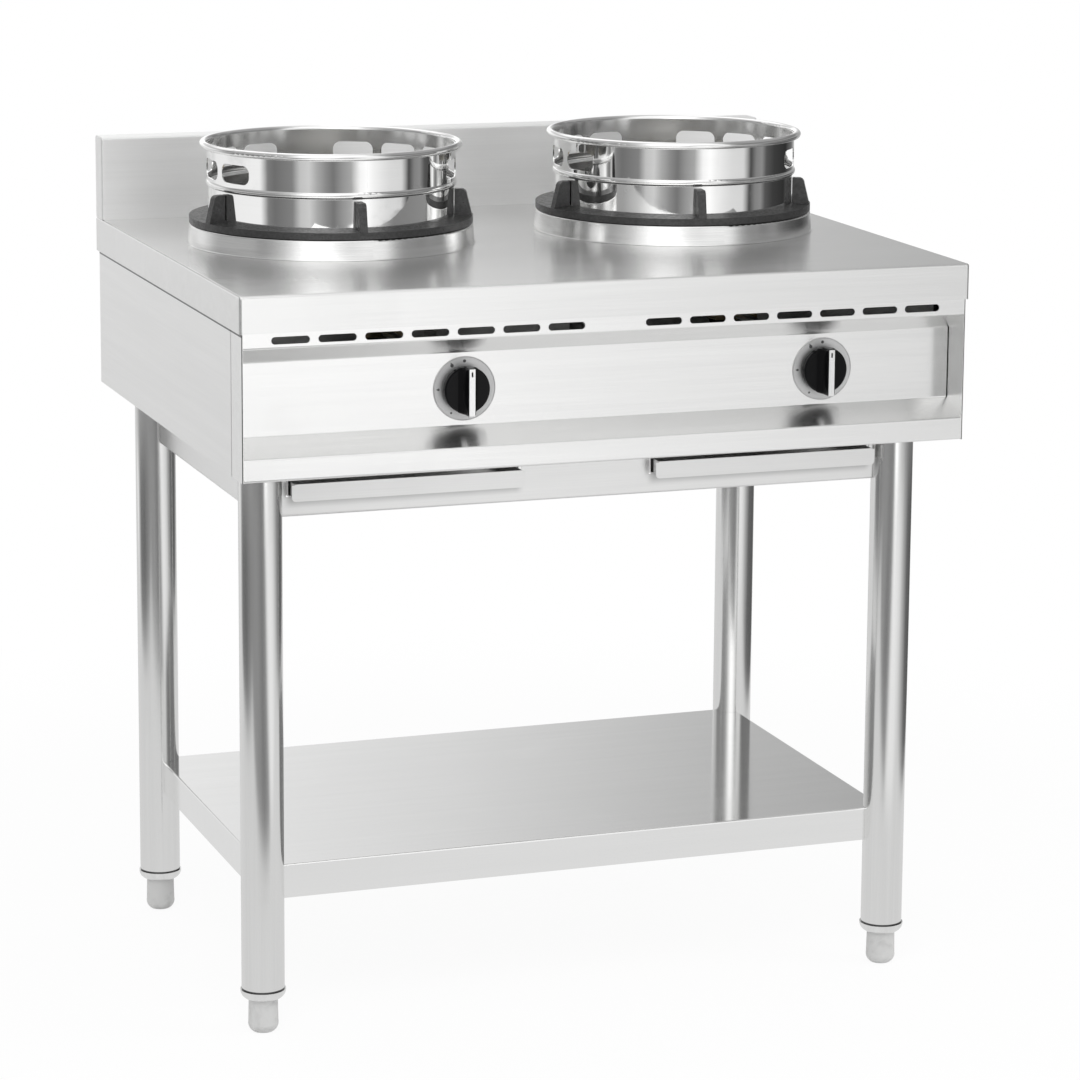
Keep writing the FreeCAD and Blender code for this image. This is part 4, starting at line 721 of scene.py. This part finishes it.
def polished(name, colour, roughness, centre, wave=0.03, depth=0.00025):
    """Mirror polish with a slow unevenness and a few fine scratches. The side that faces the upright axis
    through the centre, where the normal points against the radius, is left duller."""
    material, n = new_material(name)
    where = grain_round(centre)(n)
    radial = n.vector("MULTIPLY", n.vector("SUBTRACT", n.place(), centre), (1, 1, 0))
    facing = n.vector("DOT_PRODUCT", n.add("ShaderNodeTexCoord", out="Normal"), radial, out=1)
    inside = n.between(facing, -0.10, -0.04, 1.0, 0.0)
    wavy = n.add("ShaderNodeTexNoise", Vector=where, Scale=1 / wave, Detail=1.5, Roughness=0.4)
    grain = n.group(
        GRAIN, Vector=where, Line_Length=0.06, Line_Width=0.0011, Base_Roughness=roughness, Variation=0.012,
    )
    touched = n.math("MULTIPLY", n.group(SMUDGE, Vector=n.place(), Size=0.05).outputs[0], 0.05)
    rough = n.math("ADD", grain.outputs["Roughness"], touched, clamp=True)
    surface(
        n, Base_Color=n.tint(grain.outputs["Streak"], shade(colour, 0.95), shade(colour, 1.04)),
        Metallic=1.0, Roughness=n.math("ADD", rough, n.math("MULTIPLY", inside, INNER_ROUGHNESS)),
        Normal=n.add("ShaderNodeBump", Height=wavy, Strength=0.4, Distance=depth),
    )
    return material


for side in SIDES:
    low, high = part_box("wok_ring_" + side)
    middle_of_ring = ((low.x + high.x) / 2, (low.y + high.y) / 2, 0.0)
    dress(polished("polished_ring_" + side, (0.91, 0.91, 0.905), 0.03, middle_of_ring), "wok_ring_" + side)


# ---- Burners ----
# Rough iron castings with lathed brass caps that lift off. Bent steel straps carry them over the drip
# openings, and their jet holders and gas valves are turned from brass too.

def turned_brass(name, colour, roughness):
    """Lathed brass with tarnished patches."""
    material, n = new_material(name)
    place = n.place()
    grain = n.group(
        GRAIN, Vector=place, Line_Length=0.03, Line_Width=0.0008, Base_Roughness=roughness, Variation=0.06,
    )
    tarnish = n.group(SMUDGE, Vector=place, Size=0.03).outputs[0]
    surface(
        n, Base_Color=n.tint(tarnish, colour, shade(colour, 0.55)), Roughness=grain.outputs["Roughness"],
        Normal=n.add("ShaderNodeBump", Height=grain.outputs["Height"], Strength=0.3, Distance=0.00003),
        Metallic=1.0,
    )
    return material


BRASS = turned_brass("turned_brass", (0.58, 0.48, 0.31), 0.38)
CASTING = cast_iron("burner_casting", (0.07, 0.068, 0.065), 0.55, pit=0.003)
STRAP = steel("strap_steel", (0.66, 0.66, 0.65), 0.4, grain_along("X"))
for side in SIDES:
    dress(CASTING, "burner_body_" + side)
    dress(BRASS, "burner_cap_" + side, "jet_holder_" + side, "gas_valve_" + side, "valve_plug_" + side)
    dress(STRAP, "burner_bridge_" + side)


# ---- Gas pipes, pilots and spindles ----
# A zinc-plated steel pipe brings the gas from the rear to both valves behind the panel, and drawn tubes take
# it on to the jets and pilots. The spindles that the knobs turn are plated too.

PLATED = steel("plated_pipe", (0.62, 0.62, 0.60), 0.36, grain_along("X"), line=(0.05, 0.0015), marks=0.12)
dress(PLATED, "gas_manifold")
for side in SIDES:
    dress(PLATED, "burner_pipe_" + side, "pilot_burner_" + side, "spindle_" + side)


# ---- Stand ----
# Legs of polished stainless tube, joined by folded aprons, with a bright undershelf. Tube and shelf are
# smoother than the body's sheet, so they show the room more sharply.

LEGS = ["leg_" + end + "_" + side for end in ("front", "rear") for side in SIDES]
TUBE = steel(
    "leg_tube", (0.84, 0.84, 0.835), 0.15, grain_along("Z"), line=(0.2, 0.0007), vary=0.03, marks=0.03,
    streak=0.03, seams=[[("Z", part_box(LEGS[0])[0].z, 3 * LINE)]],
)
dress(TUBE, *LEGS)
SOCKET = steel("bright_socket", (0.88, 0.88, 0.875), 0.08, grain_along("Z"), line=(0.01, 0.0007))
dress(SOCKET, "leg_inserts")

# Painted shadow: a soft dark band on the front apron just under each drip tray's front.
TRAY_SHADE = 0.0015
tray_low, tray_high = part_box("drip_tray_right")
painted_shadow_under_tray = [
    ("X", (tray_low.x + tray_high.x) / 2, (tray_high.x - tray_low.x) / 2 - SHADE_SOFT / 2),
    ("Z", tray_low.z, TRAY_SHADE),
]
dress(satin("satin_apron", SATIN, 0.33, "X", shades=[painted_shadow_under_tray]), "apron_front")
dress(satin("satin_hidden", SATIN, 0.33, "X"), "apron_rear", "shelf_stiffener")
dress(satin("satin_apron_side", SATIN, 0.33, "Y"), "apron_left", "apron_right", "tray_runners")
dress(
    steel(
        "bright_shelf", (0.95, 0.95, 0.945), 0.09, grain_along("X"), line=(0.25, 0.001), vary=0.02,
        marks=0.02, streak=0.012, depth=0.000004,
    ),
    "undershelf",
)


# ---- Feet ----
# Bullet-shaped feet in grey paint, each on a stud that screws into the socket pressed into its leg. The
# range is levelled by turning them.

def painted(name, colour, roughness):
    """Paint with a fine orange-peel skin and a little dust."""
    material, n = new_material(name)
    place = n.place()
    peel = n.add("ShaderNodeTexNoise", Vector=place, Scale=700.0, Detail=2.0)
    dust = n.group(SMUDGE, Vector=place, Size=0.02).outputs[0]
    surface(
        n, Base_Color=n.tint(dust, colour, shade(colour, 0.86)),
        Roughness=n.math("ADD", roughness, n.math("MULTIPLY", dust, 0.1)),
        Normal=n.add("ShaderNodeBump", Height=peel, Strength=0.25, Distance=0.0001),
    )
    return material


dress(painted("foot_grey", (0.60, 0.60, 0.595), 0.30), *[leg.replace("leg_", "foot_") for leg in LEGS])


# ---- Drip trays ----
# Pans folded from satin steel sheet, which slide on runners under the burners. Their fronts hang over the
# front apron.

dress(satin("satin_tray", (0.84, 0.84, 0.835), 0.33, "X"), "drip_tray_left", "drip_tray_right")


# ---- Screws ----
# Zinc-plated pan heads. They are driven up through the ledges along the side panels' lower edges, into the
# body's floor.

dress(PLATED, "panel_screws")
